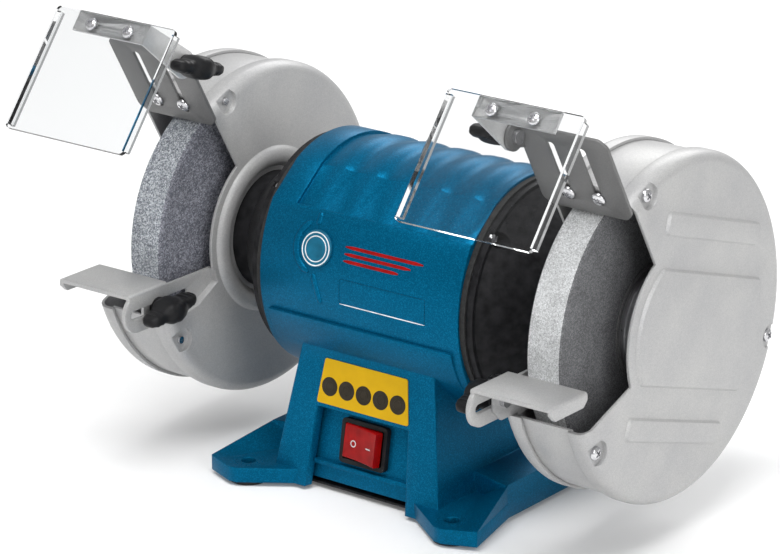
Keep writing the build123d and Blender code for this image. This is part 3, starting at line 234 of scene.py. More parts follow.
def enamel(colours):
    """Blue enamel with fine metallic flecks."""
    made = Finish("blue_enamel", colours.enamel, 0.36, 0.55)
    fleck = made.ramp(made.cells(0.55 * MM, output="Color"), [(0.45, grey(0)), (1.0, grey(0.55))])
    cloud = made.ramp(made.grain(38 * MM, 3), [(0.3, grey(0.94)), (0.7, grey(1.05))])
    tone = made.mix(fleck, colours.enamel, colours.enamel_fleck)
    made.paint(made.mix(1.0, tone, cloud, "MULTIPLY"))
    made.rough(made.grain(0.9 * MM, 2), 0.30, 0.48)
    made.set(Specular_IOR_Level=0.05)
    return made.bump(made.grain(0.8 * MM, 3), 0.07, 0.2 * MM, 1.0 * MM).material


def silver_paint(name, colour):
    """Satin powder coat over pressed sheet."""
    made = Finish(name, colour, 0.42, 0.30)
    cloud = made.ramp(made.grain(30 * MM, 3), [(0.3, (0.94, 0.94, 0.95)), (0.7, (1.05, 1.05, 1.04))])
    specks = [(0.1, (0.90, 0.90, 0.91)), (0.9, (1.10, 1.10, 1.09))]
    speck = made.ramp(made.cells(0.5 * MM, output="Color"), specks)
    tone = made.mix(1.0, colour, cloud, "MULTIPLY")
    made.paint(made.mix(1.0, tone, speck, "MULTIPLY"))
    made.rough(made.grain(1.4 * MM, 2), 0.36, 0.50)
    made.set(Specular_IOR_Level=0.35)
    return made.bump(made.grain(1.1 * MM, 2), 0.10, 0.2 * MM, 0.7 * MM).material


def black_casting(colours):
    """Satin black paint with the sand texture of a casting under it."""
    made = Finish("black_casting", colours.casting_black, 0.44)
    tones = [(0.3, (0.008, 0.008, 0.009)), (0.75, (0.024, 0.024, 0.026))]
    made.paint(made.ramp(made.grain(6 * MM, 4), tones))
    made.rough(made.grain(1.2 * MM, 3), 0.38, 0.58)
    made.set(Specular_IOR_Level=0.10)
    return made.bump(made.grain(0.7 * MM, 4), 0.22, 0.3 * MM, 0.8 * MM).material


def bright_steel():
    """Zinc-plated steel of screws, bolts and nuts."""
    made = Finish("bright_steel", (0.66, 0.66, 0.68), 0.20, 1.0)
    made.paint(made.ramp(made.grain(2.5 * MM, 4), [(0.3, (0.50, 0.50, 0.52)), (0.75, (0.78, 0.78, 0.79))]))
    made.rough(made.grain(0.8 * MM, 3), 0.12, 0.34)
    return made.bump(made.grain(0.5 * MM, 2), 0.08, 0.1 * MM, 0.25 * MM).material


def turned_steel():
    """Turned steel with fine tool marks round the spindle."""
    made = Finish("turned_steel", (0.55, 0.55, 0.57), 0.3, 1.0)
    marks = made.grain(0.35 * MM, 1, (1, 0.02, 0.02))
    made.paint(made.ramp(marks, [(0.3, (0.40, 0.40, 0.42)), (0.7, (0.62, 0.62, 0.64))]))
    made.rough(made.grain(3 * MM, 3), 0.22, 0.42)
    return made.bump(marks, 0.25, 0.06 * MM, 0.3 * MM).material


def stacked_steel():
    """Laminations: thin sheets stacked along the spindle."""
    made = Finish("stacked_steel", (0.30, 0.30, 0.31), 0.5, 0.9)
    sheets = made.node("ShaderNodeTexWave", {"Vector": made.place, "Scale": 310.0, "Distortion": 0.2},
                       bands_direction="X").outputs["Fac"]
    made.paint(made.ramp(sheets, [(0.2, (0.12, 0.12, 0.125)), (0.8, (0.36, 0.36, 0.37))]))
    made.rough(made.grain(4 * MM, 3), 0.4, 0.6)
    return made.bump(sheets, 0.4, 0.1 * MM).material


def copper_winding():
    """Varnished copper wire."""
    made = Finish("copper_winding", (0.42, 0.15, 0.05), 0.32, 0.8)
    wires = made.node("ShaderNodeTexWave", {"Vector": made.place, "Scale": 420.0, "Distortion": 2.5},
                      bands_direction="DIAGONAL").outputs["Fac"]
    made.paint(made.ramp(wires, [(0.25, (0.16, 0.045, 0.014)), (0.8, (0.52, 0.20, 0.07))]))
    made.rough(made.grain(3 * MM, 3), 0.25, 0.45)
    return made.bump(wires, 0.8, 0.25 * MM).material


def cast_aluminium():
    """Plain cast aluminium."""
    made = Finish("cast_aluminium", (0.62, 0.62, 0.63), 0.5, 0.9)
    made.paint(made.ramp(made.grain(4 * MM, 5), [(0.3, (0.45, 0.45, 0.46)), (0.75, (0.70, 0.70, 0.71))]))
    made.rough(made.grain(1.5 * MM, 3), 0.4, 0.62)
    return made.bump(made.grain(0.8 * MM, 4), 0.3, 0.2 * MM, 0.4 * MM).material


def grit(name, size, stops, glint):
    """Bonded abrasive: grains of several tones in a dull bond, with a few that glint."""
    made = Finish(name, stops[1][1], 0.85)
    grains = made.cells(size, output="Color")
    fine = made.grain(size * 0.55, 4)
    tone = made.ramp(made.mix(0.5, grains, fine), stops)
    patch = made.ramp(made.grain(16 * MM, 3), [(0.3, grey(0.88)), (0.7, grey(1.1))])
    made.paint(made.mix(1.0, tone, patch, "MULTIPLY"))
    made.rough(grains, glint, 0.95)
    return made.bump(fine, 0.7, size * 0.5).material


def clear_pane():
    """Clear moulded plastic with the faint unevenness of a moulding."""
    made = Finish("clear_pane", (0.84, 0.85, 0.855), 0.03)
    made.set(Transmission_Weight=1.0, IOR=1.25, Specular_IOR_Level=0.1)
    made.rough(made.grain(25 * MM, 3), 0.015, 0.05)
    return made.bump(made.grain(18 * MM, 2), 0.05, 0.3 * MM).material


def moulded_plastic(name, colour, roughness, coat=0.0):
    """Moulded plastic with a fine spark-eroded texture."""
    made = Finish(name, colour, roughness)
    light = tuple(min(1.0, channel * 1.25 + 0.002) for channel in colour)
    dark = scaled(colour, 0.8)
    made.paint(made.ramp(made.grain(7 * MM, 4), [(0.3, dark), (0.72, light)]))
    made.rough(made.grain(0.6 * MM, 2), roughness * 0.8, min(1.0, roughness * 1.25))
    made.set(Coat_Weight=0.35 * coat, Coat_Roughness=0.08, Specular_IOR_Level=0.12)
    return made.bump(made.grain(0.45 * MM, 3), 0.12, 0.12 * MM, 0.4 * MM).material


def printed_foil(colours):
    """Yellow printed foil."""
    made = Finish("printed_foil", colours.label_yellow, 0.38)
    cloud = made.ramp(made.grain(12 * MM, 3), [(0.3, grey(0.95)), (0.7, grey(1.05))])
    made.paint(made.mix(1.0, colours.label_yellow, cloud, "MULTIPLY"))
    made.rough(made.grain(2 * MM, 2), 0.42, 0.55)
    made.set(Specular_IOR_Level=0.15)
    return made.bump(made.grain(3 * MM, 2), 0.04, 0.1 * MM, 0.2 * MM).material


def rubber():
    """Dull black rubber."""
    made = Finish("rubber", grey(0.014), 0.8)
    made.paint(made.ramp(made.grain(3 * MM, 4), [(0.3, grey(0.008)), (0.75, grey(0.026))]))
    made.rough(made.grain(1 * MM, 3), 0.68, 0.92)
    return made.bump(made.grain(0.5 * MM, 4), 0.25, 0.2 * MM, 0.6 * MM).material


def blotter_card():
    """Rough paper card between wheel and flange."""
    made = Finish("blotter_card", grey(0.10), 0.9)
    made.paint(made.ramp(made.grain(0.8 * MM, 5), [(0.3, (0.07, 0.07, 0.072)), (0.7, grey(0.14))]))
    return made.bump(made.grain(0.5 * MM, 4), 0.4, 0.1 * MM).material


def floor_paper():
    """Plain pale paper sweep."""
    made = Finish("floor_paper", grey(0.86), 0.9)
    made.paint(made.ramp(made.grain(0.4, 2), [(0.3, grey(0.855)), (0.7, grey(0.865))]))
    made.set(Emission_Color=(1.0, 1.0, 1.0, 1.0), Emission_Strength=0.08)
    return made.bump(made.grain(2 * MM, 3), 0.05, 0.1 * MM).material


def make_finishes(colours):
    """Every finish of the grinder: by the slot of the record it belongs to, then the extra ones, among them darker
    and lighter copies that hold painted shade and painted light.
    """
    coarse = [(0.18, (0.035, 0.040, 0.060)), (0.45, (0.22, 0.24, 0.27)), (0.80, (0.78, 0.81, 0.84))]
    # the second and fourth tone lists are darker copies of the grit: painted shade on the wheels' sides, as inside
    # the guard
    coarse_painted_shade = [(0.18, (0.022, 0.024, 0.040)), (0.45, (0.13, 0.136, 0.165)), (0.82, (0.46, 0.47, 0.52))]
    fine = [(0.15, (0.22, 0.225, 0.23)), (0.45, (0.48, 0.49, 0.495)), (0.85, (0.86, 0.87, 0.88))]
    fine_painted_shade = [(0.15, (0.035, 0.036, 0.038)), (0.45, (0.10, 0.102, 0.108)), (0.85, (0.26, 0.262, 0.27))]
    return {
        "blue_paint": enamel(colours),
        "black_paint": black_casting(colours),
        "silver_paint": silver_paint("silver_paint", colours.silver),
        # lighter copy of the silver paint for the shield holders: painted light, as if they caught more light
        "sheet_painted_light": silver_paint("sheet_painted_light", scaled(colours.silver, 1.5)),
        "sheet_grey": silver_paint("sheet_grey", scaled(colours.silver, 0.36)),
        "steel_screws": bright_steel(),
        "machined_steel": turned_steel(),
        "lamination_steel": stacked_steel(),
        "winding": copper_winding(),
        "cast_aluminium": cast_aluminium(),
        "wheel_coarse": grit("grit_coarse", colours.grain_coarse, coarse, 0.45),
        "wheel_fine": grit("grit_fine", colours.grain_fine, fine, 0.6),
        # darker grit for the wheels' side faces: painted shade
        "wheel_coarse_side": grit("grit_coarse_painted_shade", colours.grain_coarse, coarse_painted_shade, 0.45),
        "wheel_fine_side": grit("grit_fine_painted_shade", colours.grain_fine, fine_painted_shade, 0.6),
        "card": blotter_card(),
        "clear_shield": clear_pane(),
        "black_plastic": moulded_plastic("black_moulding", (0.012, 0.012, 0.013), 0.38),
        "red_plastic": moulded_plastic("red_moulding", tuple(colours.switch_red), 0.22, 0.15),
        "yellow_label": printed_foil(colours),
        "badge": moulded_plastic("badge_blue", (0.006, 0.11, 0.19), 0.3, 0.4),
        "zinc_plate": black_casting(colours),
        "foot_rubber": rubber(),
        "gasket": rubber(),
        "white_mark": moulded_plastic("white_print", (0.72, 0.74, 0.76), 0.4),
        "dark_mark": moulded_plastic("dark_print", (0.03, 0.024, 0.016), 0.4),
    }


FINISHES = {}


# ---- mesh helpers ---------------------------------------------------------------------------------------
def add_object(name, mesh, slot, body, replaced=(), finish=None):
    """Show a mesh as a piece that rides on a body and has the finish of a slot."""
    made = bpy.data.objects.new(name, mesh)
    bpy.context.scene.collection.objects.link(made)
    mesh.materials.append(FINISHES[finish or slot])
    if replaced:
        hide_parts(*replaced)
    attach(made, body)
    return made


def smooth_mesh(name, points, faces, sharp=math.radians(40)):
    """Mesh from points and faces, smooth except at edges sharper than an angle."""
    mesh = bpy.data.meshes.new(name)
    mesh.from_pydata([tuple(p) for p in points], [], faces)
    mesh.validate()
    work = bmesh.new()
    work.from_mesh(mesh)
    bmesh.ops.remove_doubles(work, verts=work.verts, dist=0.002 * MM)
    bmesh.ops.dissolve_degenerate(work, edges=work.edges, dist=0.001 * MM)
    bmesh.ops.recalc_face_normals(work, faces=work.faces)
    work.to_mesh(mesh)
    work.free()
    mesh.shade_smooth()
    mesh.set_sharp_from_angle(angle=sharp)
    return mesh


class Gather:
    """Points and faces of several closed shapes that make one mesh."""

    def __init__(self):
        self.points = []
        self.faces = []

    def rings(self, rings, closed=False, capped=True):
        """Skin a list of equal rings of points, with a face over each end unless closed."""
        start = len(self.points)
        count = len(rings[0])
        for ring in rings:
            self.points.extend(ring)
        spans = len(rings) if closed else len(rings) - 1
        for i in range(spans):
            low = start + i * count
            high = start + ((i + 1) % len(rings)) * count
            for j in range(count):
                k = (j + 1) % count
                self.faces.append((low + j, low + k, high + k, high + j))
        if capped and not closed:
            self.faces.append(tuple(range(start + count - 1, start - 1, -1)))
            last = start + (len(rings) - 1) * count
            self.faces.append(tuple(range(last, last + count)))
        return self

    def lathe(self, centre, axis, profile, segments=32):
        """Turn (reach along the axis, radius) points about an axis."""
        across, up = frame_of(axis)
        rings = []
        for reach, radius in profile:
            ring = []
            for j in range(segments):
                turn = 2 * math.pi * j / segments
                side = across * (radius * math.cos(turn)) + up * (radius * math.sin(turn))
                ring.append(centre + axis * reach + side)
            rings.append(ring)
        return self.rings(rings)

    def mesh(self, name, sharp=math.radians(40)):
        return smooth_mesh(name, self.points, self.faces, sharp)


def frame_of(axis):
    """Two directions across an axis."""
    across = axis.orthogonal().normalized()
    return across, axis.cross(across).normalized()


def islands(node):
    """Vertex clouds of the separate solids of a CAD node."""
    mesh = NODES[node].data
    work = bmesh.new()
    work.from_mesh(mesh)
    bmesh.ops.remove_doubles(work, verts=work.verts, dist=0.001 * MM)
    found = []
    left = set(work.verts)
    while left:
        stack = [left.pop()]
        cloud = []
        while stack:
            vert = stack.pop()
            cloud.append(tuple(vert.co))
            for edge in vert.link_edges:
                other = edge.other_vert(vert)
                if other in left:
                    left.remove(other)
                    stack.append(other)
        found.append(np.array(cloud))
    work.free()
    return sorted(found, key=lambda cloud: tuple(np.round(cloud.mean(0), 5)))


def front_hit(node, x, z):
    """Point and normal of a CAD node's front at x and z."""
    hit, place, normal, _ = NODES[node].ray_cast(Vector((x, -1, z)), Vector((0, 1, 0)))
    if not hit:
        raise RuntimeError(f"{node} has no front at {x:.4f}, {z:.4f}")
    return place, normal


def smooth_by_angle(limit):
    """Node group that shades a mesh smooth except at edges sharper than an angle."""
    tree = bpy.data.node_groups.new("smooth_by_angle", "GeometryNodeTree")
    tree.is_modifier = True
    tree.interface.new_socket("Geometry", in_out="INPUT", socket_type="NodeSocketGeometry")
    tree.interface.new_socket("Geometry", in_out="OUTPUT", socket_type="NodeSocketGeometry")
    start = tree.nodes.new("NodeGroupInput")
    end = tree.nodes.new("NodeGroupOutput")
    angle = tree.nodes.new("GeometryNodeInputMeshEdgeAngle")
    gentle = tree.nodes.new("FunctionNodeCompare")
    gentle.operation = "LESS_EQUAL"
    gentle.inputs["B"].default_value = limit
    faces = tree.nodes.new("GeometryNodeSetShadeSmooth")
    edges = tree.nodes.new("GeometryNodeSetShadeSmooth")
    edges.domain = "EDGE"
    tree.links.new(start.outputs[0], faces.inputs["Geometry"])
    tree.links.new(faces.outputs[0], edges.inputs["Geometry"])
    tree.links.new(angle.outputs["Unsigned Angle"], gentle.inputs["A"])
    tree.links.new(gentle.outputs[0], edges.inputs["Shade Smooth"])
    tree.links.new(edges.outputs[0], end.inputs[0])
    return tree


# ---- finishes of the CAD nodes --------------------------------------------------------------------------
class GRINDER_OT_finishes(bpy.types.Operator):
    """Give every CAD node its finish and smooth, softly broken edges"""

    bl_idname = "grinder.finishes"
    bl_label = "Finishes"

    smooth_to = math.radians(32)
    bevel_from = math.radians(38)

    def execute(self, context):
        colours = context.scene.grinder_finish
        FINISHES.update(make_finishes(colours))
        slots = {part["node"]: part["material_slot"] for part in frame["record"]["subparts"]}
        smoothing = smooth_by_angle(self.smooth_to)
        soft = {"motor_housing": colours.casting_edge}
        for side, _ in SIDES:
            for node in ("guard_inner_dish", "guard_outer_cover", "guard_band", "spark_guard",
                         "shield_holder", "tool_rest"):
                soft[f"{node}_{side}"] = colours.paint_edge
        for name, node in NODES.items():
            node.data.materials.clear()
            finish = slots[name]
            if name.startswith("spark_guard_"):
                finish = "sheet_grey"
            # the shield holders get the lighter copy of the silver paint: painted light
            elif name.startswith("shield_holder_"):
                finish = "sheet_painted_light"
            node.data.materials.append(FINISHES[finish])
            weld = node.modifiers.new("weld", "WELD")
            weld.merge_threshold = 0.002 * MM
            if name in soft:
                edge = node.modifiers.new("edge", "BEVEL")
                edge.width = soft[name]
                edge.segments = 2
                edge.limit_method = "ANGLE"
                edge.angle_limit = self.bevel_from
            if slots[name] == "clear_shield":
                node.data.shade_flat()
                continue
            shade = node.modifiers.new("shade", "NODES")
            shade.node_group = smoothing
        return {"FINISHED"}


# ---- wheels ---------------------------------------------------------------------------------------------
class GRINDER_OT_wheels(bpy.types.Operator):
    """Build the two abrasive wheels with real grit on every face"""

    bl_idname = "grinder.wheels"
    bl_label = "Grinding wheels"

    segments = 520
    corner = 0.9 * MM
    plain_bore = 1 * MM                 # no grit this close to the bore
    rim_band = 2 * MM                   # grains point to the middle of the wheel this close to the rim
    painted_shade_skin = 0.6 * MM                # depth of the faces that get the darker grit with painted shade
    relief_share = {"left": 1.5, "right": 0.9}
    grains_per_metre = {"left": 700, "right": 1000}
    grain_shift = Vector((3, 1, 2))

    def profile(self, low, high, outer, bore):
        """Outline of the wheel's section, from the bore round the rim and back."""
        near = np.linspace(bore, outer - self.corner, 26)
        rim = np.linspace(low + self.corner, high - self.corner, 20)
        section = [(low, radius) for radius in near]
        section += [(x, outer) for x in rim]
        section += [(high, radius) for radius in near[::-1]]
        return section

    def execute(self, context):
        fittings = context.scene.grinder_fittings
        for side, sign in SIDES:
            node = f"grinding_wheel_{side}"
            low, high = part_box(node)
            outer = (high.z - low.z) / 2
            bore = min(np.hypot(co.y, co.z - AXIS_Z) for co in (v.co for v in NODES[node].data.vertices))
            relief = fittings.grit_relief * self.relief_share[side]
            section = self.profile(low.x, high.x, outer, bore)
            middle = Vector(((low.x + high.x) / 2, 0, AXIS_Z))
            rings = []
            for j in range(self.segments):
                turn = 2 * math.pi * j / self.segments
                out = Vector((0, math.cos(turn), math.sin(turn)))
                ring = []
                for x, radius in section:
                    point = Vector((x, 0, AXIS_Z)) + out * radius
                    rough = noise.noise(point * self.grains_per_metre[side] + self.grain_shift)
                    depth = relief * (0.5 + 0.5 * rough)
                    if radius > bore + self.plain_bore:
                        inward = X_AXIS * (1 if x < middle.x else -1)
                        if radius > outer - self.rim_band:
                            inward = (middle - point).normalized()
                        point = point + inward * depth
                    ring.append(point)
                rings.append(ring)
            shape = Gather().rings(rings, closed=True)
            mesh = shape.mesh(f"grit_wheel_{side}", math.radians(75))
            slot = "wheel_coarse" if side == "left" else "wheel_fine"
            add_object(f"grit_wheel_{side}", mesh, slot, "spindle", [node])
            # faces near the wheel's sides get the darker grit: painted shade of the guard
            mesh.materials.append(FINISHES[f"{slot}_side"])
            for face in mesh.polygons:
                away = abs(face.center.x - middle.x)
                face.material_index = int(away > (high.x - low.x) / 2 - self.painted_shade_skin)
        return {"FINISHED"}


# ---- screws ---------------------------------------------------------------------------------------------
class GRINDER_OT_screws(bpy.types.Operator):
    """Give the screws domed heads with a cross recess"""

    bl_idname = "grinder.screws"
    bl_label = "Screws"

    groups = ("guard_cover_screws", "spark_guard_screws", "shield_screws_left", "shield_screws_right",
              "bell_screws")
    segments = 48
    arm_share = 0.14                    # half width of the cross, of the head's radius
    reach_share = 0.52                  # length of its arms
    depth_share = 0.55                  # depth of the cross, of the head's height
    rim_share = 0.30                    # height of the head at its rim
    dome_share = 0.70
    ring_shares = (1.0, 0.97, 0.9, 0.8, 0.68, 0.56, 0.5, 0.44, 0.36, 0.28, 0.22, 0.17, 0.12, 0.06)

    def head(self, shape, centre, axis, radius, seat, top, shank, tail):
        """One screw: a domed head whose middle is sunk in the form of a cross, and its shank."""
        across, up = frame_of(axis)
        arm = radius * self.arm_share
        reach = radius * self.reach_share
        depth = (top - seat) * self.depth_share
        rings = []
        for level, size in ((tail, shank), (seat, shank), (seat, radius)):
            rings.append([centre + axis * level + across * (size * math.cos(t)) + up * (size * math.sin(t))
                          for t in self.turns()])
        for share in self.ring_shares:
            ring = []
            for t in self.turns():
                u = radius * share * math.cos(t)
                v = radius * share * math.sin(t)
                swell = math.sqrt(max(0.0, 1 - share ** 2.4))
                dome = seat + (top - seat) * (self.rim_share + self.dome_share * swell)
                inside = (abs(u) < arm and abs(v) < reach) or (abs(v) < arm and abs(u) < reach)
                ring.append(centre + axis * (dome - (depth if inside else 0)) + across * u + up * v)
            rings.append(ring)
        shape.rings(rings)

    def turns(self):
        return [2 * math.pi * j / self.segments for j in range(self.segments)]

    def axis_for(self, group, cloud):
        """The direction that a screw's head faces."""
        if group.startswith(("guard_cover", "bell")):
            return Vector((1 if cloud[:, 0].mean() > 0 else -1, 0, 0))
        if group.startswith("spark"):
            slide = JOINTS["spark_guard_slide_right"]["axis"]
            return Vector((0, -slide[2], slide[1]))
        pane = NODES["eye_shield_right"].data
        widest = max(pane.polygons, key=lambda face: face.area)
        normal = Vector((0, widest.normal.y, widest.normal.z)).normalized()
        return normal if normal.y < 0 else -normal

    def execute(self, context):
        for group in self.groups:
            shape = Gather()
            for cloud in islands(group):
                axis = self.axis_for(group, cloud)
                along = cloud @ np.array(axis)
                flat = cloud - np.outer(along, np.array(axis))
                middle = Vector((flat.max(0) + flat.min(0)) / 2)
                away = np.linalg.norm(flat - np.array(middle), axis=1)
                radius = away.max()
                seat = along[away > radius * 0.9].min()
                shank = away[np.argmin(along)]
                self.head(shape, middle, axis, radius, seat, along.max(), shank, along.min())
            mesh = shape.mesh(f"{group}_cross", math.radians(35))
            body = group.replace("screws_", "") if group.startswith("shield") else "root"
            add_object(f"{group}_cross", mesh, "steel_screws", body, [group])
        return {"FINISHED"}


# ---- wing knobs -----------------------------------------------------------------------------------------
class GRINDER_OT_knobs(bpy.types.Operator):
    """Build the four moulded wing knobs with rounded hubs and ribbed wings"""

    bl_idname = "grinder.knobs"
    bl_label = "Wing knobs"

    stations = 72
    around = 40
    end_power = 7                       # how squarely the wings end
    hub_share = 0.36                    # of the half span
    wing_thick, hub_thick = 4.1, 3.6    # millimetres, the hub's on top of the wing's
    wing_deep, hub_deep = 0.34, 0.14    # of the knob's length
    ribs_from = 0.42                    # of the half span
    ribs_run = 0.5
    rib_rise = 0.55                     # millimetres
    squareness = 3.2
    hub_radius = 7.6 * MM

    def knob(self, node, joint, ribs):
        """Section after section along the wings: thick at the hub, thin and ribbed on the wings."""
        low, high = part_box(node)
        hub = Vector((0, joint["pos_m"][1], joint["pos_m"][2]))
        cloud = [Vector((0, v.co.y, v.co.z)) - hub for v in NODES[node].data.vertices]
        wing = max(cloud, key=lambda p: p.length)
        half_span = wing.length
        wing = wing.normalized()
        across = X_AXIS.cross(wing).normalized()
        length = high.x - low.x
        centre = Vector(((low.x + high.x) / 2, hub.y, hub.z))
        shape = Gather()
        rings = []
        for i in range(self.stations + 1):
            u = -1 + 2 * i / self.stations
            tip = math.sqrt(max(0.0004, 1 - abs(u) ** self.end_power))
            body = math.exp(-(u / self.hub_share) ** 4)
            thick = (self.wing_thick + self.hub_thick * body) * MM * tip
            deep = (self.wing_deep + self.hub_deep * body) * length * tip
            if abs(u) > self.ribs_from:
                wave = math.cos((abs(u) - self.ribs_from) / self.ribs_run * math.pi * 2 * ribs)
                thick += self.rib_rise * MM * tip * max(0.0, wave) ** 2
            ring = []
            for j in range(self.around):
                turn = 2 * math.pi * j / self.around
                c, s = math.cos(turn), math.sin(turn)
                square = (abs(c) ** self.squareness + abs(s) ** self.squareness) ** (-1 / self.squareness)
                ring.append(centre + wing * (half_span * u) + X_AXIS * (deep * c * square)
                            + across * (thick * s * square))
            rings.append(ring)
        shape.rings(rings)
        inward = Vector((-1 if centre.x > 0 else 1, 0, 0))
        hub_r = self.hub_radius
        half = length / 2
        dome = [(-half, hub_r * 0.86), (-half + 1 * MM, hub_r * 0.9), (half - 3.2 * MM, hub_r * 0.9)]
        dome += [(half - 1.5 * MM, hub_r * 0.82), (half - 0.5 * MM, hub_r * 0.6), (half, hub_r * 0.3)]
        shape.lathe(centre, inward, dome, 40)
        return shape.mesh(f"{node}_ribbed", math.radians(50))

    def execute(self, context):
        ribs = context.scene.grinder_fittings.wing_ribs
        for side, _ in SIDES:
            for kind in ("shield", "rest"):
                node = f"{kind}_knob_{side}"
                joint = JOINTS[f"{kind}_knob_turn_{side}"]
                mesh = self.knob(node, joint, ribs)
                add_object(f"{node}_ribbed", mesh, "black_plastic", joint["child"], [node])
        return {"FINISHED"}


# ---- marks and relief on the casting --------------------------------------------------------------------
class GRINDER_OT_marks(bpy.types.Operator):
    """Add the badge ring, the raised ridges, the framed panel, the plate's discs and the foot dots"""

    bl_idname = "grinder.marks"
    bl_label = "Marks and relief"

    print_height = 0.12 * MM
    ridge_section = ((-0.5, -0.4), (-0.42, 0.35), (-0.18, 0.92), (0.18, 1.0), (0.42, 0.4), (0.5, -0.4))
    arc_radius = 17.2 * MM              # of the ridge that runs round the badge
    arc_from, arc_step = 118, 5.6       # degrees
    panel_left, panel_right = -14.6 * MM, 53.8 * MM
    panel_low, panel_high = 134.5 * MM, 151.3 * MM
    line_width, line_height = 0.55 * MM, 0.22 * MM
    bar_left = -13 * MM
    bar_top, bar_pitch = 172.0, 4.4     # millimetres
    bar_right, bar_step = 49.0, 9.0     # millimetres: each bar is shorter than the one above it
    plate_marks = 5
    dot_circles = (7.4 * MM, 9.6 * MM)
    dot_dome = ((-0.1 * MM, 0.55 * MM), (0.15 * MM, 0.5 * MM), (0.35 * MM, 0.3 * MM), (0.4 * MM, 0.02 * MM))

    def ridge(self, shape, path, width, height, node="motor_housing"):
        """Low rounded ridge that follows (x, z) points over the front of a node."""
        rings = []
        for i, (x, z) in enumerate(path):
            before = path[max(0, i - 1)]
            after = path[min(len(path) - 1, i + 1)]
            along = Vector((after[0] - before[0], 0, after[1] - before[1])).normalized()
            place, normal = front_hit(node, x, z)
            side = along.cross(normal).normalized()
            ends = math.sin(math.pi * (i + 0.25) / (len(path) - 0.5))
            slim = min(1.0, 0.35 + 2.2 * ends)
            ring = []
            for share, lift in self.ridge_section:
                ring.append(place + side * (share * width * slim) + normal * (lift * height * slim))
            rings.append(ring)
        shape.rings(rings)

    def disc(self, shape, place, normal, radius, height, inner=0.0, segments=40):
        """Flat disc or ring printed on a surface."""
        if inner:
            across, up = frame_of(normal)
            rings = []
            for j in range(segments):
                turn = 2 * math.pi * j / segments
                out = across * math.cos(turn) + up * math.sin(turn)
                rings.append([place + out * inner, place + out * inner + normal * height,
                              place + out * radius + normal * height, place + out * radius])
            shape.rings(rings, closed=True)
        else:
            shape.lathe(place, normal, [(0, radius), (height, radius), (height, radius * 0.02)], segments)

    def execute(self, context):
        fittings = context.scene.grinder_fittings
        low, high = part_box("badge_disc")
        badge_x = (low.x + high.x) / 2
        badge_z = (low.z + high.z) / 2
        radius = (high.x - low.x) / 2
        rings = Gather()
        place, normal = front_hit("badge_disc", badge_x, badge_z)
        self.disc(rings, place, normal, radius * 0.93, self.print_height, radius * 0.86, 64)
        self.disc(rings, place, normal, radius * 0.72, self.print_height, radius * 0.66, 64)
        add_object("badge_rings", rings.mesh("badge_rings"), "badge", "root", finish="white_mark")

        relief = Gather()
        arc = []
        for i in range(25):
            turn = math.radians(self.arc_from + i * self.arc_step)
            x = badge_x + self.arc_radius * math.cos(turn)
            arc.append((x, badge_z + self.arc_radius * math.sin(turn)))
        self.ridge(relief, arc, 5.0 * MM, 1.3 * MM)
        lower = [(badge_x + (-1.5 + 0.32 * i) * MM, badge_z - (16.5 + i) * MM) for i in range(20)]
        self.ridge(relief, lower, 4.2 * MM, 1.2 * MM)
        upper = [(badge_x - 3.2 * MM, badge_z + (14.0 + 0.9 * i) * MM) for i in range(9)]
        self.ridge(relief, upper, 4.2 * MM, 1.0 * MM)
        add_object("badge_ridges", relief.mesh("badge_ridges"), "blue_paint", "root")

        panel = Gather()
        left, right, top, bottom = self.panel_left, self.panel_right, self.panel_high, self.panel_low
        for x in (left, right):
            line = [(x, bottom + (top - bottom) * i / 12) for i in range(13)]
            self.ridge(panel, line, self.line_width, self.line_height)
        line = [(left + (right - left) * i / 30, top) for i in range(31)]
        self.ridge(panel, line, self.line_width, self.line_height)
        add_object("panel_frame", panel.mesh("panel_frame"), "blue_paint", "root")
        under = Gather()
        line = [(left + (right - left) * i / 30, bottom) for i in range(31)]
        self.ridge(under, line, 0.8 * MM, 0.25 * MM)
        mesh = under.mesh("panel_underline")
        add_object("panel_underline", mesh, "blue_paint", "root", finish="white_mark")

        accent = Gather()
        for index in range(3):
            z = (self.bar_top - self.bar_pitch * index) * MM
            end = (self.bar_right - self.bar_step * index) * MM
            line = [(self.bar_left + (end - self.bar_left) * i / 30, z) for i in range(31)]
            self.ridge(accent, line, 2.4 * MM, 0.3 * MM)
        add_object("accent_bars", accent.mesh("accent_bars"), "red_plastic", "root")

        plate_low, plate_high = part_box("front_label")
        plate_width = plate_high.x - plate_low.x
        discs = Gather()
        for index in range(self.plate_marks):
            x = plate_low.x + plate_width * (0.125 + 0.1865 * index)
            z = plate_low.z + (plate_high.z - plate_low.z) * 0.40
            place, normal = front_hit("front_label", x, z)
            self.disc(discs, place, normal, 6.3 * MM, self.print_height, segments=48)
            self.disc(discs, place, normal, 3.3 * MM, 0.2 * MM, 2.7 * MM, 40)
        add_object("plate_discs", discs.mesh("plate_discs"), "yellow_label", "root", finish="dark_mark")

        self.dot_rings(fittings.ring_dots)
        self.rocker_marks()
        return {"FINISHED"}

    def dot_rings(self, count):
        """Two rings of small raised dots round each bench-bolt hole."""
        mount = next(m for m in frame["record"]["mounts"] if m["name"] == "base_bolts")
        half_x = mount["dims"]["spacing_x_mm"] / 2 * MM
        half_y = mount["dims"]["spacing_y_mm"] / 2 * MM
        dots = Gather()
        for sx in (-1, 1):
            for sy in (-1, 1):
                for ring_r, number in zip(self.dot_circles, (count, 2 * count)):
                    for j in range(number):
                        turn = 2 * math.pi * j / number
                        x = sx * half_x + ring_r * math.cos(turn)
                        y = sy * half_y + ring_r * math.sin(turn)
                        above = Vector((x, y, 30 * MM))
                        hit, place, normal, _ = NODES["motor_housing"].ray_cast(above, Vector((0, 0, -1)))
                        if hit:
                            dots.lathe(place, normal, self.dot_dome, 8)
        add_object("foot_dots", dots.mesh("foot_dots", math.radians(70)), "blue_paint", "root")

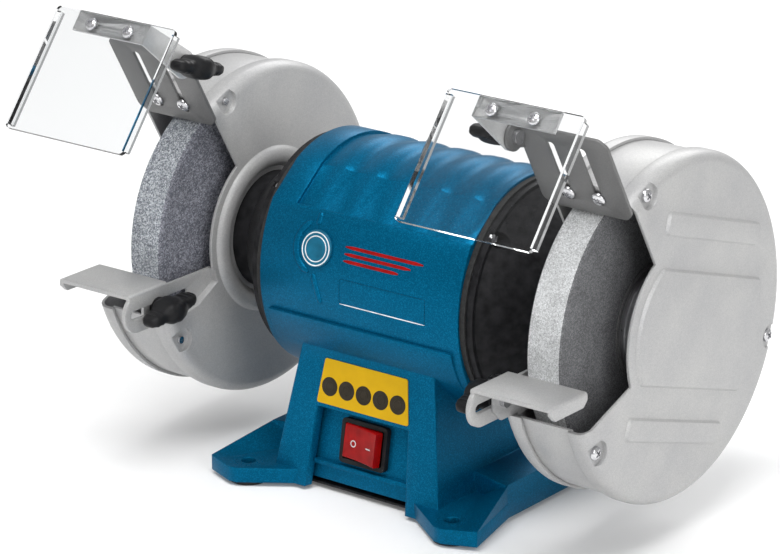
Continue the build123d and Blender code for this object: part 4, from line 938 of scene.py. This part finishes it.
    def rocker_marks(self):
        """A ring and a bar, moulded into the two halves of the rocker."""
        low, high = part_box("switch_rocker")
        middle = (low.z + high.z) / 2
        marks = Gather()
        place, normal = front_hit("switch_rocker", low.x + (high.x - low.x) * 0.27, middle)
        self.disc(marks, place, normal, 2.3 * MM, 0.15 * MM, 1.7 * MM, 32)
        place, normal = front_hit("switch_rocker", low.x + (high.x - low.x) * 0.73, middle)
        up = normal.cross(X_AXIS).normalized()
        along = up.cross(normal).normalized()
        half = 2.2 * MM
        thin = 0.4 * MM
        outline = [(-half, -thin), (half, -thin), (half, thin), (-half, thin)]
        levels = (0, 0.15 * MM)
        marks.rings([[place + along * a + up * b + normal * lift for a, b in outline] for lift in levels])
        add_object("rocker_marks", marks.mesh("rocker_marks"), "red_plastic", "rocker", finish="white_mark")


# ---- studio ---------------------------------------------------------------------------------------------
class GRINDER_OT_stage(bpy.types.Operator):
    """Set up a plain pale floor, soft studio light and the camera"""

    bl_idname = "grinder.stage"
    bl_label = "Studio"

    floor_half = 6.0
    side_share = 0.44                   # of the key light's power
    rim_share = 0.5

    def area(self, name, place, aim, size, power):
        light = bpy.data.lights.new(name, "AREA")
        light.shape = "RECTANGLE"
        light.size, light.size_y = size
        light.energy = power
        lamp = bpy.data.objects.new(name, light)
        bpy.context.scene.collection.objects.link(lamp)
        lamp.location = place
        lamp.rotation_euler = (Vector(aim) - Vector(place)).to_track_quat("-Z", "Y").to_euler()

    def execute(self, context):
        stage = context.scene.grinder_stage
        half = self.floor_half
        mesh = bpy.data.meshes.new("studio_floor")
        spread = [(-half, -half, 0), (half, -half, 0), (half, half, 0), (-half, half, 0)]
        mesh.from_pydata(spread, [], [(0, 1, 2, 3)])
        floor = bpy.data.objects.new("studio_floor", mesh)
        context.scene.collection.objects.link(floor)
        mesh.materials.append(floor_paper())

        world = bpy.data.worlds.new("soft_surround")
        world.use_nodes = True
        backdrop = world.node_tree.nodes["Background"]
        backdrop.inputs["Color"].default_value = (1, 1, 1, 1)
        backdrop.inputs["Strength"].default_value = stage.world_light
        context.scene.world = world

        self.area("key_above", (0.25, -0.70, 1.95), (0, 0, 0.12), (1.6, 1.0), stage.key_light)
        side_power = stage.key_light * self.side_share
        self.area("side_right", (1.9, -0.9, 0.9), (0, 0, 0.14), (1.0, 1.2), side_power)
        self.area("rim_back", (-0.4, 1.6, 1.3), (0, 0, 0.15), (1.6, 0.8), stage.key_light * self.rim_share)

        lens = bpy.data.cameras.new("camera")
        lens.lens = stage.lens
        lens.sensor_width = 36.0
        lens.clip_start = 0.05
        lens.clip_end = 50
        camera = bpy.data.objects.new("camera", lens)
        context.scene.collection.objects.link(camera)
        camera.location = stage.camera_place
        turn, tip = stage.azimuth, stage.elevation
        look = Vector((-math.sin(turn) * math.cos(tip), math.cos(turn) * math.cos(tip), -math.sin(tip)))
        camera.rotation_euler = look.to_track_quat("-Z", "Y").to_euler()
        context.scene.camera = camera
        context.scene.view_settings.view_transform = "Standard"
        return {"FINISHED"}


OPERATORS = (
    GRINDER_OT_finishes,
    GRINDER_OT_wheels,
    GRINDER_OT_screws,
    GRINDER_OT_knobs,
    GRINDER_OT_marks,
    GRINDER_OT_stage,
)


class GRINDER_PT_build(bpy.types.Panel):
    """Buttons that build each group of pieces"""

    bl_idname = "GRINDER_PT_build"
    bl_label = "Bench grinder"
    bl_space_type = "VIEW_3D"
    bl_region_type = "UI"
    bl_category = "Grinder"

    def draw(self, context):
        for attribute, _ in GROUPS:
            group = getattr(context.scene, attribute)
            box = self.layout.box()
            for name in group.__annotations__:
                box.prop(group, name)
        for operator in OPERATORS:
            self.layout.operator(operator.bl_idname)


GROUPS = (
    ("grinder_finish", GrinderFinish),
    ("grinder_fittings", GrinderFittings),
    ("grinder_stage", GrinderStage),
)


def register():
    for name, group in GROUPS:
        bpy.utils.register_class(group)
        setattr(bpy.types.Scene, name, bpy.props.PointerProperty(type=group))
    for operator in OPERATORS:
        bpy.utils.register_class(operator)
    bpy.utils.register_class(GRINDER_PT_build)


def unregister():
    bpy.utils.unregister_class(GRINDER_PT_build)
    for operator in reversed(OPERATORS):
        bpy.utils.unregister_class(operator)
    for name, group in reversed(GROUPS):
        delattr(bpy.types.Scene, name)
        bpy.utils.unregister_class(group)


def main():
    register()
    for operator in OPERATORS:
        group, name = operator.bl_idname.split(".")
        getattr(getattr(bpy.ops, group), name)()
    bpy.context.view_layer.update()


if __name__ == "__main__":
    main()
